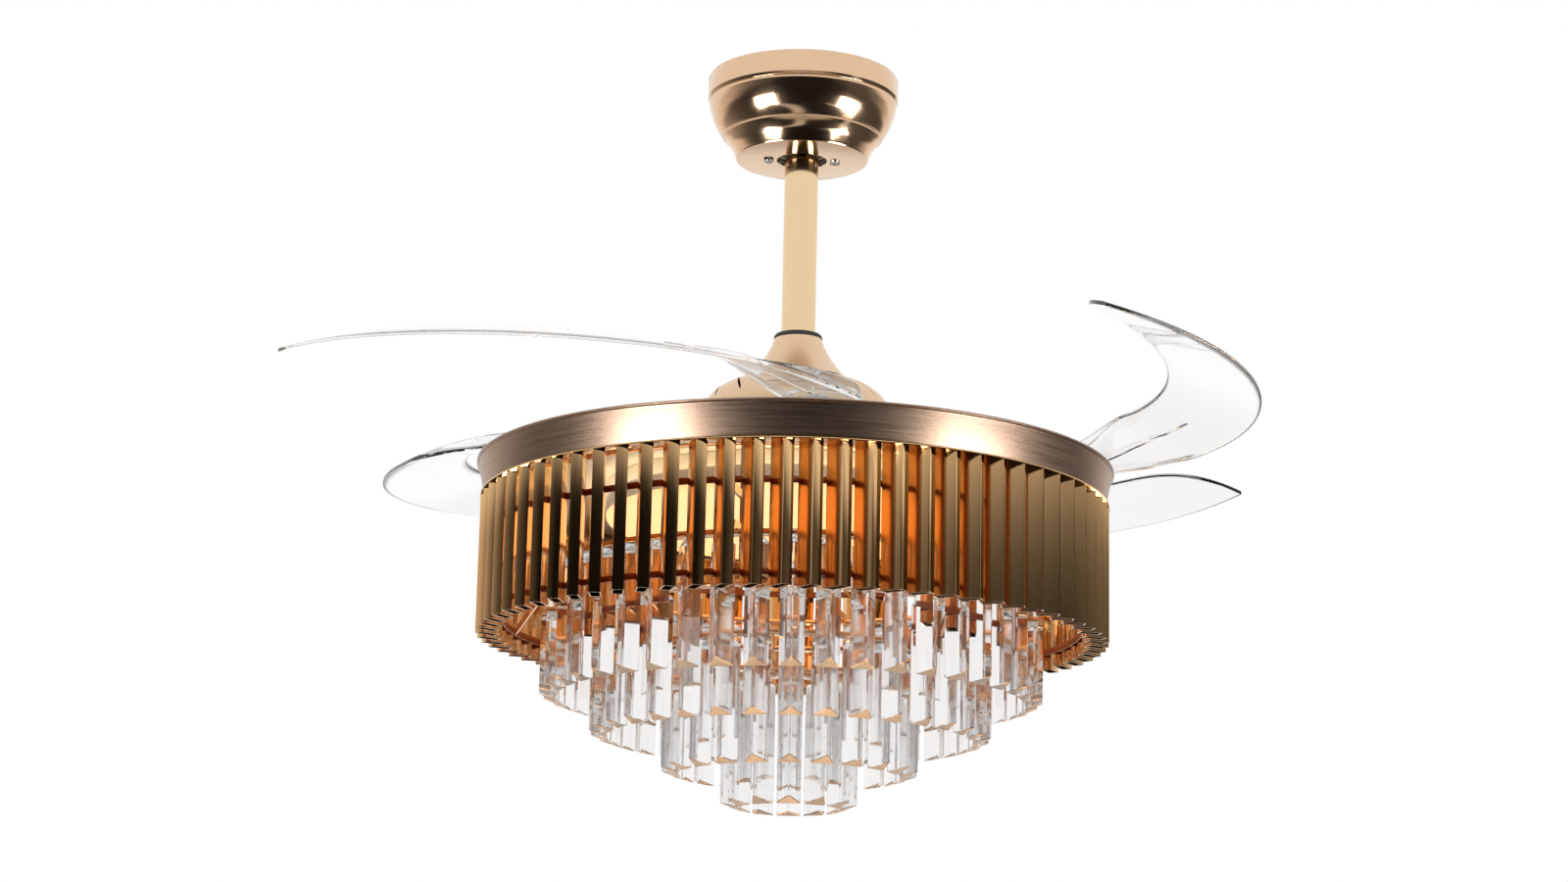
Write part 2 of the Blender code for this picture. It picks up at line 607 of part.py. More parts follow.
def build_rod(mats):
    """Downrod, its coupling on the motor shaft, the pin, the set screws and the lead."""
    bore = ROD_RADIUS - ROD_WALL
    rod = lathe("downrod", [(ROD_RADIUS, rod_top), (bore, rod_top), (bore, rod_bottom),
                            (ROD_RADIUS, rod_bottom)], MEDIUM, mats["satin_gold"])
    pin_z = coupling_bottom + COUPLING_PIN_RISE

    def rod_holes(tool):
        cross_hole(BALL_PIN_RADIUS + GAP, ROD_RADIUS + CUT, ball_z)(tool)
        cross_hole(COUPLING_PIN_RADIUS + GAP, ROD_RADIUS + CUT, pin_z)(tool)

    cut(rod, "rod_holes", rod_holes)
    step = coupling_bottom + COUPLING_LOWER_HEIGHT
    top = coupling_bottom + COUPLING_HEIGHT
    shaft_fit, rod_fit = SHAFT_RADIUS + GAP, ROD_RADIUS + GAP
    coupling = lathe("shaft_coupling", [(shaft_fit, coupling_bottom), (COUPLING_RADIUS, coupling_bottom),
                                        (COUPLING_RADIUS, top), (rod_fit, top), (rod_fit, step),
                                        (shaft_fit, step)], MEDIUM, mats["steel"])
    set_screw_spot = (Matrix.Translation((0, 0, coupling_bottom + SET_SCREW_RISE))
                      @ Matrix.Rotation(math.pi / 2, 4, "X"))

    def coupling_holes(tool):
        cross_hole(COUPLING_PIN_RADIUS + GAP, COUPLING_RADIUS + CUT, pin_z)(tool)
        add_rod(tool, [(SET_SCREW_RADIUS + GAP, 0), (SET_SCREW_RADIUS + GAP, COUPLING_RADIUS + CUT)],
                TINY, set_screw_spot)

    cut(coupling, "coupling_holes", coupling_holes)
    bm = bmesh.new()
    add_rod(bm, [(COUPLING_PIN_RADIUS, -COUPLING_RADIUS), (COUPLING_PIN_RADIUS, COUPLING_RADIUS)],
            TINY, Matrix.Translation((0, 0, pin_z)) @ Matrix.Rotation(math.pi / 2, 4, "Y"))
    finish("coupling_pin", bm, mats["steel"])
    bm = bmesh.new()
    add_rod(bm, [(SET_SCREW_RADIUS, shaft_fit), (SET_SCREW_RADIUS, COUPLING_RADIUS)], TINY,
            set_screw_spot)
    finish("set_screw", bm, mats["steel"])
    shaft_y = SHAFT_BORE - LEAD_RADIUS - GAP
    rod_y = BALL_PIN_RADIUS + LEAD_RADIUS + RUN_GAP
    shaft_top = coupling_bottom + COUPLING_LOWER_HEIGHT
    route = [(0, shaft_y, shaft_bottom), (0, shaft_y, shaft_top),
             (0, rod_y, pin_z - COUPLING_PIN_RADIUS), (0, rod_y, rod_top + ROD_ABOVE_BALL)]
    curve = bpy.data.curves.new("supply_lead", "CURVE")
    curve.dimensions = "3D"
    curve.bevel_depth = LEAD_RADIUS
    curve.bevel_resolution = 2
    curve.use_fill_caps = True
    spline = curve.splines.new("POLY")
    spline.points.add(len(route) - 1)
    for point, spot in zip(spline.points, route):
        point.co = (*spot, 1)
    curve.materials.append(mats["black_plastic"])
    bpy.context.scene.collection.objects.link(bpy.data.objects.new("supply_lead", curve))


def build_bell(mats):
    """Bell cover over the coupling, and the rubber ring between it and the rod."""
    def bell_line(steps, inset):
        points = []
        for k in range(steps + 1):
            t = k / steps
            radius = ((1 - t) ** 2 * BELL_TOP_RADIUS + 2 * t * (1 - t) * BELL_WAIST_RADIUS
                      + t ** 2 * BELL_BOTTOM_RADIUS)
            points.append((radius - inset, bell_top - BELL_HEIGHT * t))
        return points

    inner = bell_line(BELL_STEPS // 2, BELL_WALL)
    lathe("bell_cover", bell_line(BELL_STEPS, 0) + inner[::-1], MEDIUM, mats["champagne"])
    inner = ROD_RADIUS + GAP
    low = bell_top + GAP
    mid = (low + grommet_top) / 2
    lathe("bell_grommet", [(inner, low), (GROMMET_RADIUS, low), (GROMMET_RADIUS, mid),
                           (GROMMET_RADIUS - GROMMET_HEIGHT / 4, grommet_top),
                           (inner, grommet_top)], MEDIUM, mats["black_rubber"])


def build_motor(mats):
    """Outer-rotor motor: fixed shaft, core, coils and bearings inside two turning shells."""
    top = coupling_bottom + COUPLING_LOWER_HEIGHT - GAP
    lathe("stator_shaft", [(SHAFT_RADIUS, top), (SHAFT_BORE, top), (SHAFT_BORE, shaft_bottom),
                           (SHAFT_RADIUS, shaft_bottom)], SMALL, mats["steel"])
    shaft_fit = SHAFT_RADIUS + GAP
    for name, high in (("upper_bearing", rotor_top - BEARING_INSET),
                       ("lower_bearing", rotor_bottom + BEARING_INSET + BEARING_HEIGHT)):
        low = high - BEARING_HEIGHT
        lathe(name, [(shaft_fit, low), (BEARING_RADIUS, low), (BEARING_RADIUS, high),
                     (shaft_fit, high)], SMALL, mats["steel"])

    seat = BEARING_RADIUS + GAP
    seat_depth = BEARING_INSET + BEARING_HEIGHT
    crown = [Vector((ROTOR_CROWN_RADIUS, rotor_top)),
             Vector((ROTOR_RADIUS * ROTOR_SHOULDER_SHARE, rotor_top - 2 * ROTOR_SHEET)),
             Vector((ROTOR_RADIUS, rotor_top - ROTOR_SHOULDER_DROP / 2)),
             Vector((ROTOR_RADIUS, rotor_top - ROTOR_SHOULDER_DROP))]
    curve = [(1 - t) ** 3 * crown[0] + 3 * t * (1 - t) ** 2 * crown[1]
             + 3 * t ** 2 * (1 - t) * crown[2] + t ** 3 * crown[3]
             for t in (k / BELL_STEPS for k in range(BELL_STEPS + 1))]
    outer = [(p.x, p.y) for p in curve]
    inner = [(r - ROTOR_SHEET * k / BELL_STEPS, z - ROTOR_SHEET * (1 - k / BELL_STEPS))
             for k, (r, z) in enumerate(outer)]
    inner_wall = ROTOR_RADIUS - ROTOR_SHEET
    profile = [(seat, rotor_top - seat_depth), (seat, rotor_top)] + outer
    profile += [(ROTOR_RADIUS, rotor_joint), (inner_wall, rotor_joint)]
    profile += inner[::-2]
    profile += [(seat + ROTOR_SHEET, rotor_top - ROTOR_SHEET), (seat + ROTOR_SHEET, rotor_top - seat_depth)]
    upper = lathe("rotor_shell_upper", profile, ROUND, mats["champagne"])

    def vents(tool):
        for k in range(ROTOR_VENT_COUNT):
            add_box_turned(tool, rotor_vent_radius, ROTOR_VENT_LENGTH, ROTOR_VENT_WIDTH,
                           rotor_top - ROTOR_SHOULDER_DROP, rotor_top + CUT,
                           math.tau * k / ROTOR_VENT_COUNT)

    cut(upper, "rotor_vents", vents)
    joint = rotor_joint - GAP
    floor = rotor_bottom + ROTOR_SHEET
    lower = lathe("rotor_shell_lower", [(ROTOR_RADIUS, joint), (ROTOR_RADIUS, rotor_bottom),
                                        (seat, rotor_bottom), (seat, rotor_bottom + seat_depth),
                                        (seat + ROTOR_SHEET, rotor_bottom + seat_depth),
                                        (seat + ROTOR_SHEET, floor), (inner_wall, floor),
                                        (inner_wall, joint)], ROUND, mats["champagne"])
    join(lower, "shell_stakes", lambda tool: add_stakes(tool, stake_spots(SHELL_STAKE_RADIUS),
                                                        rotor_bottom + ROTOR_SHEET / 2))

    core_low = rotor_bottom + STATOR_RISE
    bm = bmesh.new()
    add_prism(bm, [(x, y, core_low) for x, y in stator_outline()], (0, 0, STATOR_HEIGHT))
    core = finish("stator_core", bm, mats["steel"])
    cut(core, "core_bore", lambda tool: add_rod(
        tool, [(shaft_fit, core_low - CUT), (shaft_fit, core_low + STATOR_HEIGHT + CUT)], SMALL))
    bm = bmesh.new()
    half_low, half_high = STATOR_NECK_HALF + GAP, STATOR_NECK_HALF + GAP + COIL_SHEET
    z_low, z_high = core_low - GAP, core_low + STATOR_HEIGHT + GAP
    for k in range(STATOR_TEETH):
        angle = math.tau * k / STATOR_TEETH
        outer = coil_loop(coil_inner_radius, half_high, z_low - COIL_SHEET, z_high + COIL_SHEET, angle)
        inner = coil_loop(coil_inner_radius, half_low, z_low, z_high, angle)
        run = coil_outer_radius - coil_inner_radius
        add_tube(bm, outer, inner, (run * math.cos(angle), run * math.sin(angle), 0))
    coils = finish("stator_coils", bm, mats["copper"])
    link_low = z_high + COIL_SHEET / 2
    join(coils, "coil_link", lambda tool: add_lathe(
        tool, [(coil_inner_radius + RUN_GAP, link_low),
               (coil_inner_radius + COIL_SHEET, link_low),
               (coil_inner_radius + COIL_SHEET, link_low + COIL_SHEET),
               (coil_inner_radius + RUN_GAP, link_low + COIL_SHEET)], ROUND))
    low = core_low + (STATOR_HEIGHT - MAGNET_HEIGHT) / 2
    lathe("magnet_ring", [(magnet_inner, low), (magnet_outer, low),
                          (magnet_outer, low + MAGNET_HEIGHT),
                          (magnet_inner, low + MAGNET_HEIGHT)], ROUND, mats["magnet"])


def add_box_turned(bm, radius, length, width, low, high, angle):
    """A radial slot-shaped box centred at a radius and turned about the axis."""
    corners = [(radius - length / 2, -width / 2), (radius + length / 2, -width / 2),
               (radius + length / 2, width / 2), (radius - length / 2, width / 2)]
    add_prism(bm, [(*turned(x, y, angle), low) for x, y in corners], (0, 0, high - low))


def coil_loop(radius, half, low, high, angle):
    """Four corners of a winding around a core tooth."""
    return [(*turned(radius, side * half, angle), z)
            for side, z in ((-1, low), (1, low), (1, high), (-1, high))]


def stator_outline():
    """Plan outline of the toothed core."""
    points = []
    pitch = math.tau / STATOR_TEETH
    shoe = pitch * STATOR_SHOE_SHARE
    for k in range(STATOR_TEETH):
        angle = pitch * k
        root = math.sqrt(stator_hub_radius ** 2 - STATOR_NECK_HALF ** 2)
        neck = math.sqrt(stator_shoe_radius ** 2 - STATOR_NECK_HALF ** 2)
        points.append(turned(root, -STATOR_NECK_HALF, angle))
        points.append(turned(neck, -STATOR_NECK_HALF, angle))
        for r, a in ((stator_shoe_radius, -shoe), (stator_radius, -shoe), (stator_radius, 0),
                     (stator_radius, shoe), (stator_shoe_radius, shoe)):
            points.append(turned(r, 0, angle + a))
        points.append(turned(neck, STATOR_NECK_HALF, angle))
        points.append(turned(root, STATOR_NECK_HALF, angle))
    return points


def stake_spots(radius, count=BLADE_COUNT):
    """Evenly spaced places between the blade pivots, at one radius."""
    first = math.pi / BLADE_COUNT + BLADE_TURN
    return [Matrix.Rotation(math.tau * k / count + first, 4, "Z")
            @ Matrix.Translation((radius, 0, 0)) for k in range(count)]


def add_stakes(bm, spots, top):
    """Moulded stakes that pass down through the tray and are headed below it."""
    head_high = tray_bottom - GAP
    head_low = head_high - STAKE_HEAD_HEIGHT
    for spot in spots:
        add_rod(bm, [(STAKE_HEAD_RADIUS, head_low), (STAKE_HEAD_RADIUS, head_high),
                     (STAKE_RADIUS, head_high), (STAKE_RADIUS, top)], TINY, spot)


def tooth_outline(teeth, first, count, turn):
    """Plan points of a run of straight-flanked teeth, from low angle to high."""
    pitch_radius = gear_module * teeth / 2
    tip = pitch_radius + gear_module * ADDENDUM_SHARE
    root = pitch_radius - gear_module * DEDENDUM_SHARE
    half = math.pi * gear_module * TOOTH_SHARE / 2
    half_tip = half - (tip - pitch_radius) * FLANK_SLOPE
    half_root = half + (pitch_radius - root) * FLANK_SLOPE
    points = []
    for k in range(count):
        angle = turn + math.tau * (first + k) / teeth
        points += [turned(root, -half_root, angle), turned(tip, -half_tip, angle),
                   turned(tip, half_tip, angle), turned(root, half_root, angle)]
    return points, root


def build_sync_gear(mats):
    """Toothed ring that keeps the four blades in step."""
    outline = []
    for k in range(BLADE_COUNT):
        turn = math.tau * k / BLADE_COUNT + BLADE_TURN
        points, root = tooth_outline(RING_TEETH, 2 - RING_ARC_TEETH, RING_ARC_TEETH, turn)
        outline += points
        last = math.atan2(points[-1][1], points[-1][0])
        start = turn + math.tau / BLADE_COUNT + math.tau * (2 - RING_ARC_TEETH) / RING_TEETH
        pitch = math.tau / RING_TEETH
        gap = (start - pitch / 2 - last) % math.tau
        outline += [turned(root, 0, last + gap * step / RING_BACK_STEPS)
                    for step in range(1, RING_BACK_STEPS)]
    bm = bmesh.new()
    add_prism(bm, [(x, y, gear_bottom) for x, y in outline], (0, 0, GEAR_FACE))
    gear = finish("sync_gear", bm, mats["nylon"])
    cut(gear, "gear_bore", lambda tool: add_rod(
        tool, [(ring_bore, gear_bottom - CUT), (ring_bore, gear_top + CUT)], FINE))


def hub_outline():
    """Plan outline of a blade hub about its own pivot: a toothed sector and a round back."""
    points, root = tooth_outline(HUB_TEETH, -1, HUB_ARC_TEETH, math.pi + math.pi / HUB_TEETH)
    centre = math.atan2(points[0][1], points[0][0])
    last = math.atan2(points[-1][1], points[-1][0])
    gap = (centre - last) % math.tau
    for share in (1, 2, 3, 4, 5):
        points.append(turned(HUB_BOSS_RADIUS, 0, last + gap * share / 6))
    return points


def build_hubs(mats):
    """Blade hubs with sector teeth and a spring pocket, one for each blade."""
    bm = bmesh.new()
    add_prism(bm, [(pivot_radius + x, y, gear_bottom) for x, y in hub_outline()], (0, 0, GEAR_FACE))
    item = finish("hub_draft", bm, mats["nylon"])
    pivot = Matrix.Translation((pivot_radius, 0, 0))
    turn = Matrix.Rotation(math.pi / SMALL, 4, "Z")
    tools = [
        join(item, "hub_boss", lambda tool: add_rod(
            tool, [(HUB_BOSS_RADIUS, gear_bottom + GEAR_FACE / 2), (HUB_BOSS_RADIUS, hub_top)],
            SMALL, pivot @ turn)),
        cut(item, "hub_pocket", lambda tool: add_rod(
            tool, [(POCKET_RADIUS, gear_bottom - CUT), (POCKET_RADIUS, gear_bottom + POCKET_HEIGHT)],
            SMALL, pivot)),
        cut(item, "hub_bore", lambda tool: add_rod(
            tool, [(BOLT_RADIUS + GAP, gear_bottom - CUT), (BOLT_RADIUS + GAP, hub_top + CUT)],
            TINY, pivot)),
        join(item, "hub_pegs", lambda tool: [add_rod(
            tool, [(PEG_RADIUS, hub_top - GEAR_FACE / 2), (PEG_RADIUS, hub_top + PEG_HEIGHT)],
            TINY, spot) for spot in peg_spots()])]
    make_copies("blade_hub", item, tools)


def blade_holes(tool):
    """Holes through a blade's root: the pivot bolt and the hub's two pegs."""
    low, high = blade_mid - BLADE_SHEET / 2 - CUT, blade_root_top + CUT
    bolt, peg = BOLT_RADIUS + GAP, PEG_RADIUS + GAP
    add_rod(tool, [(bolt, low), (bolt, high)], TINY, Matrix.Translation((pivot_radius, 0, 0)))
    for spot in peg_spots():
        add_rod(tool, [(peg, low), (peg, high)], TINY, spot)


def peg_spots():
    """Where each blade is pegged to its hub."""
    return [Matrix.Translation((pivot_radius, side * PEG_ARM, 0)) for side in (-1, 1)]


def make_copies(name, item, tools):
    """Apply a draft piece's cuts and repeat it at each blade position."""
    graph = bpy.context.evaluated_depsgraph_get()
    mesh = bpy.data.meshes.new_from_object(item.evaluated_get(graph))
    mesh.name = name
    for draft in [item, *tools]:
        bpy.data.objects.remove(draft, do_unlink=True)
    copies(name, mesh)


def copies(name, mesh):
    """One object for each blade position, turned about the fan's axis, all sharing a mesh."""
    for k in range(BLADE_COUNT):
        item = bpy.data.objects.new(f"{name}_{k + 1}", mesh)
        item.rotation_euler = (0, 0, math.tau * k / BLADE_COUNT + BLADE_TURN)
        bpy.context.scene.collection.objects.link(item)


def smooth_step(x):
    """0 below 0, 1 above 1, and a smooth rise between."""
    x = np.clip(x, 0, 1)
    return x * x * (3 - 2 * x)


def blade_surface():
    """Mid-surface of the first blade, opened, as a grid of points.

    Folded, the blade is a crescent about the fan's axis: the angle runs from
    the heel to the tip, and the outer edge is a circle. Each point is then
    swung open about the blade's pivot.
    """
    u = np.linspace(0, 1, BLADE_STEPS + 1)
    u = 0.5 - 0.5 * np.cos(math.pi * u)
    angle = (BLADE_HEEL_ANGLE - (BLADE_HEEL_ANGLE + BLADE_TIP_ANGLE) * u)[:, None]
    run = np.clip(-angle / BLADE_TIP_ANGLE, 0, 1)
    root = smooth_step(1 + angle / BLADE_ROOT_ANGLE)
    half = BLADE_HALF_WIDTH * np.sqrt(np.clip(1 - run ** BLADE_TAPER_POWER, 0, 1))
    middle = blade_outer_radius - half
    heel = np.clip(1 - (angle / BLADE_HEEL_ANGLE) ** 2, 0, 1) ** 0.5
    heel = np.where(angle > 0, heel, 1.0)
    half = (half * (1 - root) + BLADE_ROOT_HALF * root) * heel
    middle = middle * (1 - root) + (pivot_radius + BLADE_ROOT_OFFSET) * root
    edge_low = half.min() + BLADE_SHEET / 2
    half = np.maximum(half, edge_low)
    across = np.linspace(-1, 1, BLADE_RIBS + 1)[None, :]
    radius = middle + half * across
    low, high = BLADE_SLOPE_SHARES
    slope = BLADE_SLOPE * smooth_step((run - low) / (high - low))
    height = blade_mid + BLADE_RISE * run ** 2 + slope * (half - half * across)
    x = radius * np.cos(angle)
    y = radius * np.sin(angle)
    c, s = math.cos(FOLD_ANGLE), math.sin(FOLD_ANGLE)
    dx, dy = x - pivot_radius, y
    return np.stack([pivot_radius + dx * c - dy * s, dx * s + dy * c,
                     np.broadcast_to(height, x.shape)], -1)


def build_blades(mats):
    """Four clear crescent blades, one mesh."""
    grid = blade_surface()
    rows, cols = grid.shape[:2]
    bm = bmesh.new()
    verts = [[bm.verts.new(grid[i, j]) for j in range(cols)] for i in range(rows)]
    for i in range(rows - 1):
        for j in range(cols - 1):
            bm.faces.new((verts[i][j], verts[i][j + 1], verts[i + 1][j + 1], verts[i + 1][j]))
    for face in bm.faces:
        face.normal_update()
    if sum(face.normal.z for face in bm.faces) < 0:
        bmesh.ops.reverse_faces(bm, faces=bm.faces)
    item = finish("blade_draft", bm, mats["clear_acrylic"], recalc=False)
    wall = item.modifiers.new("wall", "SOLIDIFY")
    wall.thickness = BLADE_SHEET
    wall.offset = 0
    cup = [(CUP_RADIUS - CUP_WALL, blade_mid), (CUP_RADIUS, blade_mid),
           (CUP_RADIUS, blade_mid + CUP_HEIGHT), (CUP_RADIUS - CUP_WALL, blade_mid + CUP_HEIGHT)]
    pivot = Matrix.Translation((pivot_radius, 0, 0))
    rim = join(item, "blade_cup", lambda tool: add_lathe(tool, cup, ROUND, pivot))
    make_copies("blade", item, [rim, cut(item, "blade_cuts", blade_holes)])


def build_tray(mats):
    """Turning plate that carries the blade pivots, the gear guide and the springs."""
    tray = lathe("blade_tray", [(TRAY_BORE, tray_bottom), (tray_radius, tray_bottom),
                                (tray_radius, tray_top), (TRAY_BORE, tray_top)], ROUND,
                 mats["white_metal"])
    pivot = Matrix.Translation((pivot_radius, 0, 0))
    pivots = [Matrix.Rotation(math.tau * k / BLADE_COUNT + BLADE_TURN, 4, "Z") @ pivot
              for k in range(BLADE_COUNT)]
    guide_outer = ring_bore - RUN_GAP
    guide_spots = stake_spots(guide_outer - GUIDE_WIDTH / 2, BLADE_COUNT // 2)

    def holes(tool):
        low, high = tray_bottom - CUT, tray_top + CUT
        for spot in pivots:
            add_rod(tool, [(BOLT_RADIUS + GAP, low), (BOLT_RADIUS + GAP, high)], TINY, spot)
        for spot in stake_spots(SHELL_STAKE_RADIUS) + guide_spots:
            add_rod(tool, [(STAKE_RADIUS + GAP, low), (STAKE_RADIUS + GAP, high)], TINY, spot)

    cut(tray, "tray_holes", holes)
    head_low = blade_root_top + GAP
    rivet_high = tray_bottom - GAP
    bm = bmesh.new()
    add_rod(bm, [(RIVET_RADIUS, rivet_high - RIVET_HEIGHT), (RIVET_RADIUS, rivet_high),
                 (BOLT_RADIUS, rivet_high), (BOLT_RADIUS, head_low), (BOLT_HEAD_RADIUS, head_low),
                 (BOLT_HEAD_RADIUS, head_low + BOLT_HEAD_HEIGHT)], TINY, pivot)
    make_copies("pivot_bolt", finish("bolt_draft", bm, mats["steel"]), [])
    lip_low = gear_top + GAP
    guide_inner = guide_outer - GUIDE_WIDTH
    lip = ring_bore + GUIDE_LIP
    guide = lathe("gear_guide", [(guide_inner, gear_bottom), (guide_outer, gear_bottom),
                                 (guide_outer, lip_low), (lip, lip_low),
                                 (lip, lip_low + GUIDE_LIP_HEIGHT),
                                 (guide_inner, lip_low + GUIDE_LIP_HEIGHT)], ROUND, mats["nylon"])
    join(guide, "guide_stakes", lambda tool: add_stakes(tool, guide_spots,
                                                        (gear_bottom + gear_top) / 2))
    build_spring(mats, pivot)


def build_spring(mats, pivot):
    """Coil spring in each hub's pocket, one unbroken helix of round wire."""
    count = SPRING_TURNS * SPRING_TURN_POINTS + 1
    t = np.linspace(0, 1, count)
    angle = math.tau * SPRING_TURNS * t
    low = gear_bottom + RUN_GAP + SPRING_WIRE
    line = np.stack([SPRING_RADIUS * np.cos(angle), SPRING_RADIUS * np.sin(angle),
                     low + SPRING_HEIGHT * t], -1)
    print("spring: least gap between turns",
          round(SPRING_HEIGHT / SPRING_TURNS - 2 * SPRING_WIRE, 5))
    curve = bpy.data.curves.new("return_spring", "CURVE")
    curve.dimensions = "3D"
    curve.bevel_depth = SPRING_WIRE
    curve.bevel_resolution = 0
    curve.use_fill_caps = True
    spline = curve.splines.new("POLY")
    spline.points.add(count - 1)
    for point, spot in zip(spline.points, line):
        point.co = (*(pivot @ Vector(spot)), 1)
    curve.materials.append(mats["steel"])
    copies("return_spring", curve)


def build_light_body(mats):
    """Conical trim ring, its flat pan and the nut on the motor shaft."""
    rt, rb = ring_top_radius, ring_bottom_radius
    ring = [(rb, ring_bottom), (rt, ring_top - RING_BEAD - RING_BEAD_SLOPE),
            (rt + RING_BEAD, ring_top - RING_BEAD),
            (rt + RING_BEAD, ring_top), (rt - RING_SHEET, ring_top), (rb - RING_SHEET, ring_bottom)]
    lathe("trim_ring", ring, FINE, mats["brushed_gold"])
    fall = (rt - rb) / RING_HEIGHT
    rim = rt - RING_SHEET - fall * (PAN_RECESS + PAN_SHEET) - GAP
    bore = SHAFT_RADIUS + GAP
    lathe("light_pan", [(bore, pan_top), (bore, pan_bottom), (rim, pan_bottom), (rim, pan_top)],
          FINE, mats["white_metal"])
    bm = bmesh.new()
    add_prism(bm, circle_points(PAN_NUT_RADIUS, 6, nut_top), (0, 0, -PAN_NUT_HEIGHT))
    nut = finish("shaft_nut", bm, mats["steel"])
    cut(nut, "nut_bore", lambda tool: add_rod(
        tool, [(bore, nut_top - PAN_NUT_HEIGHT - CUT), (bore, nut_top + CUT)], SMALL))


def strip_corners(angle, inset=0.0):
    """Plan corners of one slanted strip; inset steps them in for the hollow."""
    out = Vector((math.cos(angle), math.sin(angle)))
    side = Vector((-out.y, out.x))
    deep = -math.cos(STRIP_SLANT) * out - math.sin(STRIP_SLANT) * side
    wide = -math.sin(STRIP_SLANT) * out + math.cos(STRIP_SLANT) * side
    corner = SHADE_RADIUS * out + inset * deep + inset * wide
    depth, width = STRIP_DEPTH - 2 * inset, STRIP_WIDTH - 2 * inset
    return [corner, corner + width * wide, corner + width * wide + depth * deep,
            corner + depth * deep]


def build_strips(mats):
    """Ring of slanted box-section strips welded on two hoops."""
    bm = bmesh.new()
    for k in range(STRIP_COUNT):
        angle = STRIP_FIRST_ANGLE + math.tau * k / STRIP_COUNT
        outer = [(p.x, p.y, strip_bottom) for p in strip_corners(angle)]
        inner = [(p.x, p.y, strip_bottom) for p in strip_corners(angle, STRIP_SHEET)]
        add_tube(bm, outer, inner, (0, 0, STRIP_LENGTH - FLANGE_SHEET / 2))
    item = finish("fluted_shade", bm, mats["strip_gold"])

    flange_low = strip_top - FLANGE_SHEET
    inner = hoop_inner - FLANGE_MARGIN
    outer = SHADE_RADIUS + FLANGE_MARGIN / 2
    join(item, "shade_flange", lambda tool: add_lathe(
        tool, [(inner, flange_low), (outer, flange_low), (outer, strip_top), (inner, strip_top)],
        STRIP_COUNT, Matrix.Rotation(STRIP_FIRST_ANGLE, 4, "Z")))


def tier_levels():
    """Top level of each tier's crystals."""
    return [ring_top - drop + CRYSTAL_LENGTH for drop in TIER_BOTTOM_DROPS]


def arm_outline():
    """Stepped side outline (radius, height) of one frame arm."""
    half = ARM_BAR / 2
    tops = [z + CRYSTAL_RING_HEIGHT + GAP for z in tier_levels()]
    ring_mid = [r - crystal_middle for r in tier_radii]
    spine = arm_spine_radius
    hang = hoop_inner + HOOP_WIDTH / 2
    upper = ring_top - HOOP_UPPER_DROP - HOOP_HEIGHT / 2
    lower = ring_top - HOOP_LOWER_DROP - HOOP_HEIGHT / 2
    start = pan_bottom - GAP
    reach = ring_mid[0] + CRYSTAL_RING_WIDTH / 2 + half
    right = [(spine + half, start), (spine + half, upper + half), (hang, upper + half),
             (hang, upper - half), (spine + half, upper - half), (spine + half, tops[0] + ARM_BAR),
             (reach, tops[0] + ARM_BAR), (hang, lower + half), (hang, lower - half),
             (reach, tops[0]), (spine + half, tops[0])]
    steps = []
    bars = [spine, (ring_mid[1] + ring_mid[2]) / 2, (ring_mid[2] + ring_mid[3]) / 2]
    for k in (1, 2, 3):
        steps += [(bars[k - 1] + half, tops[k])]
        inner = bars[k] + half if k < 3 else ring_mid[3] - CRYSTAL_RING_WIDTH / 2
        steps += [(inner, tops[k])]
    left = [(ring_mid[3] - CRYSTAL_RING_WIDTH / 2, tops[3] + ARM_BAR)]
    for k in (2, 1):
        left += [(bars[k] - half, tops[k + 1] + ARM_BAR), (bars[k] - half, tops[k] + ARM_BAR)]
    left += [(spine - half, tops[1] + ARM_BAR), (spine - half, start)]
    return right + steps + left


def build_crystals(mats):
    """Frame that hangs from the pan, and the four tiers of prisms on their rings."""
    arms = bmesh.new()
    for k in range(ARM_COUNT):
        angle = ARM_FIRST_ANGLE + math.tau * k / ARM_COUNT
        outline = [(*turned(r, -ARM_SHEET / 2, angle), z) for r, z in arm_outline()]
        add_prism(arms, outline, (-ARM_SHEET * math.sin(angle), ARM_SHEET * math.cos(angle), 0))
    frame = finish("crystal_frame", arms, mats["polished_gold"])
    low = tier_levels()[-1] + CRYSTAL_RING_HEIGHT + GAP
    high = low + ARM_SHEET
    outer = tier_radii[-1] - crystal_middle
    inner = outer - CRYSTAL_RING_WIDTH
    join(frame, "frame_hub", lambda tool: add_lathe(
        tool, [(inner, low), (outer, low), (outer, high), (inner, high)], MEDIUM))

    def hoops(tool):
        for drop in (HOOP_UPPER_DROP, HOOP_LOWER_DROP):
            top = ring_top - drop
            foot = top - HOOP_HEIGHT
            add_lathe(tool, [(hoop_inner, foot), (hoop_outer, foot), (hoop_outer, top),
                             (hoop_inner, top)], HOOP_STEPS)

    join(frame, "frame_hoops", hoops)
    for number, (radius, top) in enumerate(zip(tier_radii, tier_levels()), 1):
        count = 2 * round(math.pi * radius / CRYSTAL_PITCH)
        steps = count if count < MEDIUM + SMALL else count // 2
        bm = bmesh.new()
        for k in range(count):
            add_crystal(bm, radius, top, -math.pi / 2 + math.tau * k / count)
        tier = finish(f"crystal_tier_{number}", bm, mats["crystal"])
        mid = radius - crystal_middle
        inner, outer = mid - CRYSTAL_RING_WIDTH / 2, mid + CRYSTAL_RING_WIDTH / 2
        ring = [(inner, top), (outer, top), (outer, top + CRYSTAL_RING_HEIGHT),
                (inner, top + CRYSTAL_RING_HEIGHT)]
        turn = Matrix.Rotation(-math.pi / 2 - math.pi / count, 4, "Z")
        join(tier, f"tier_ring_{number}", lambda tool: add_lathe(tool, ring, steps, turn))


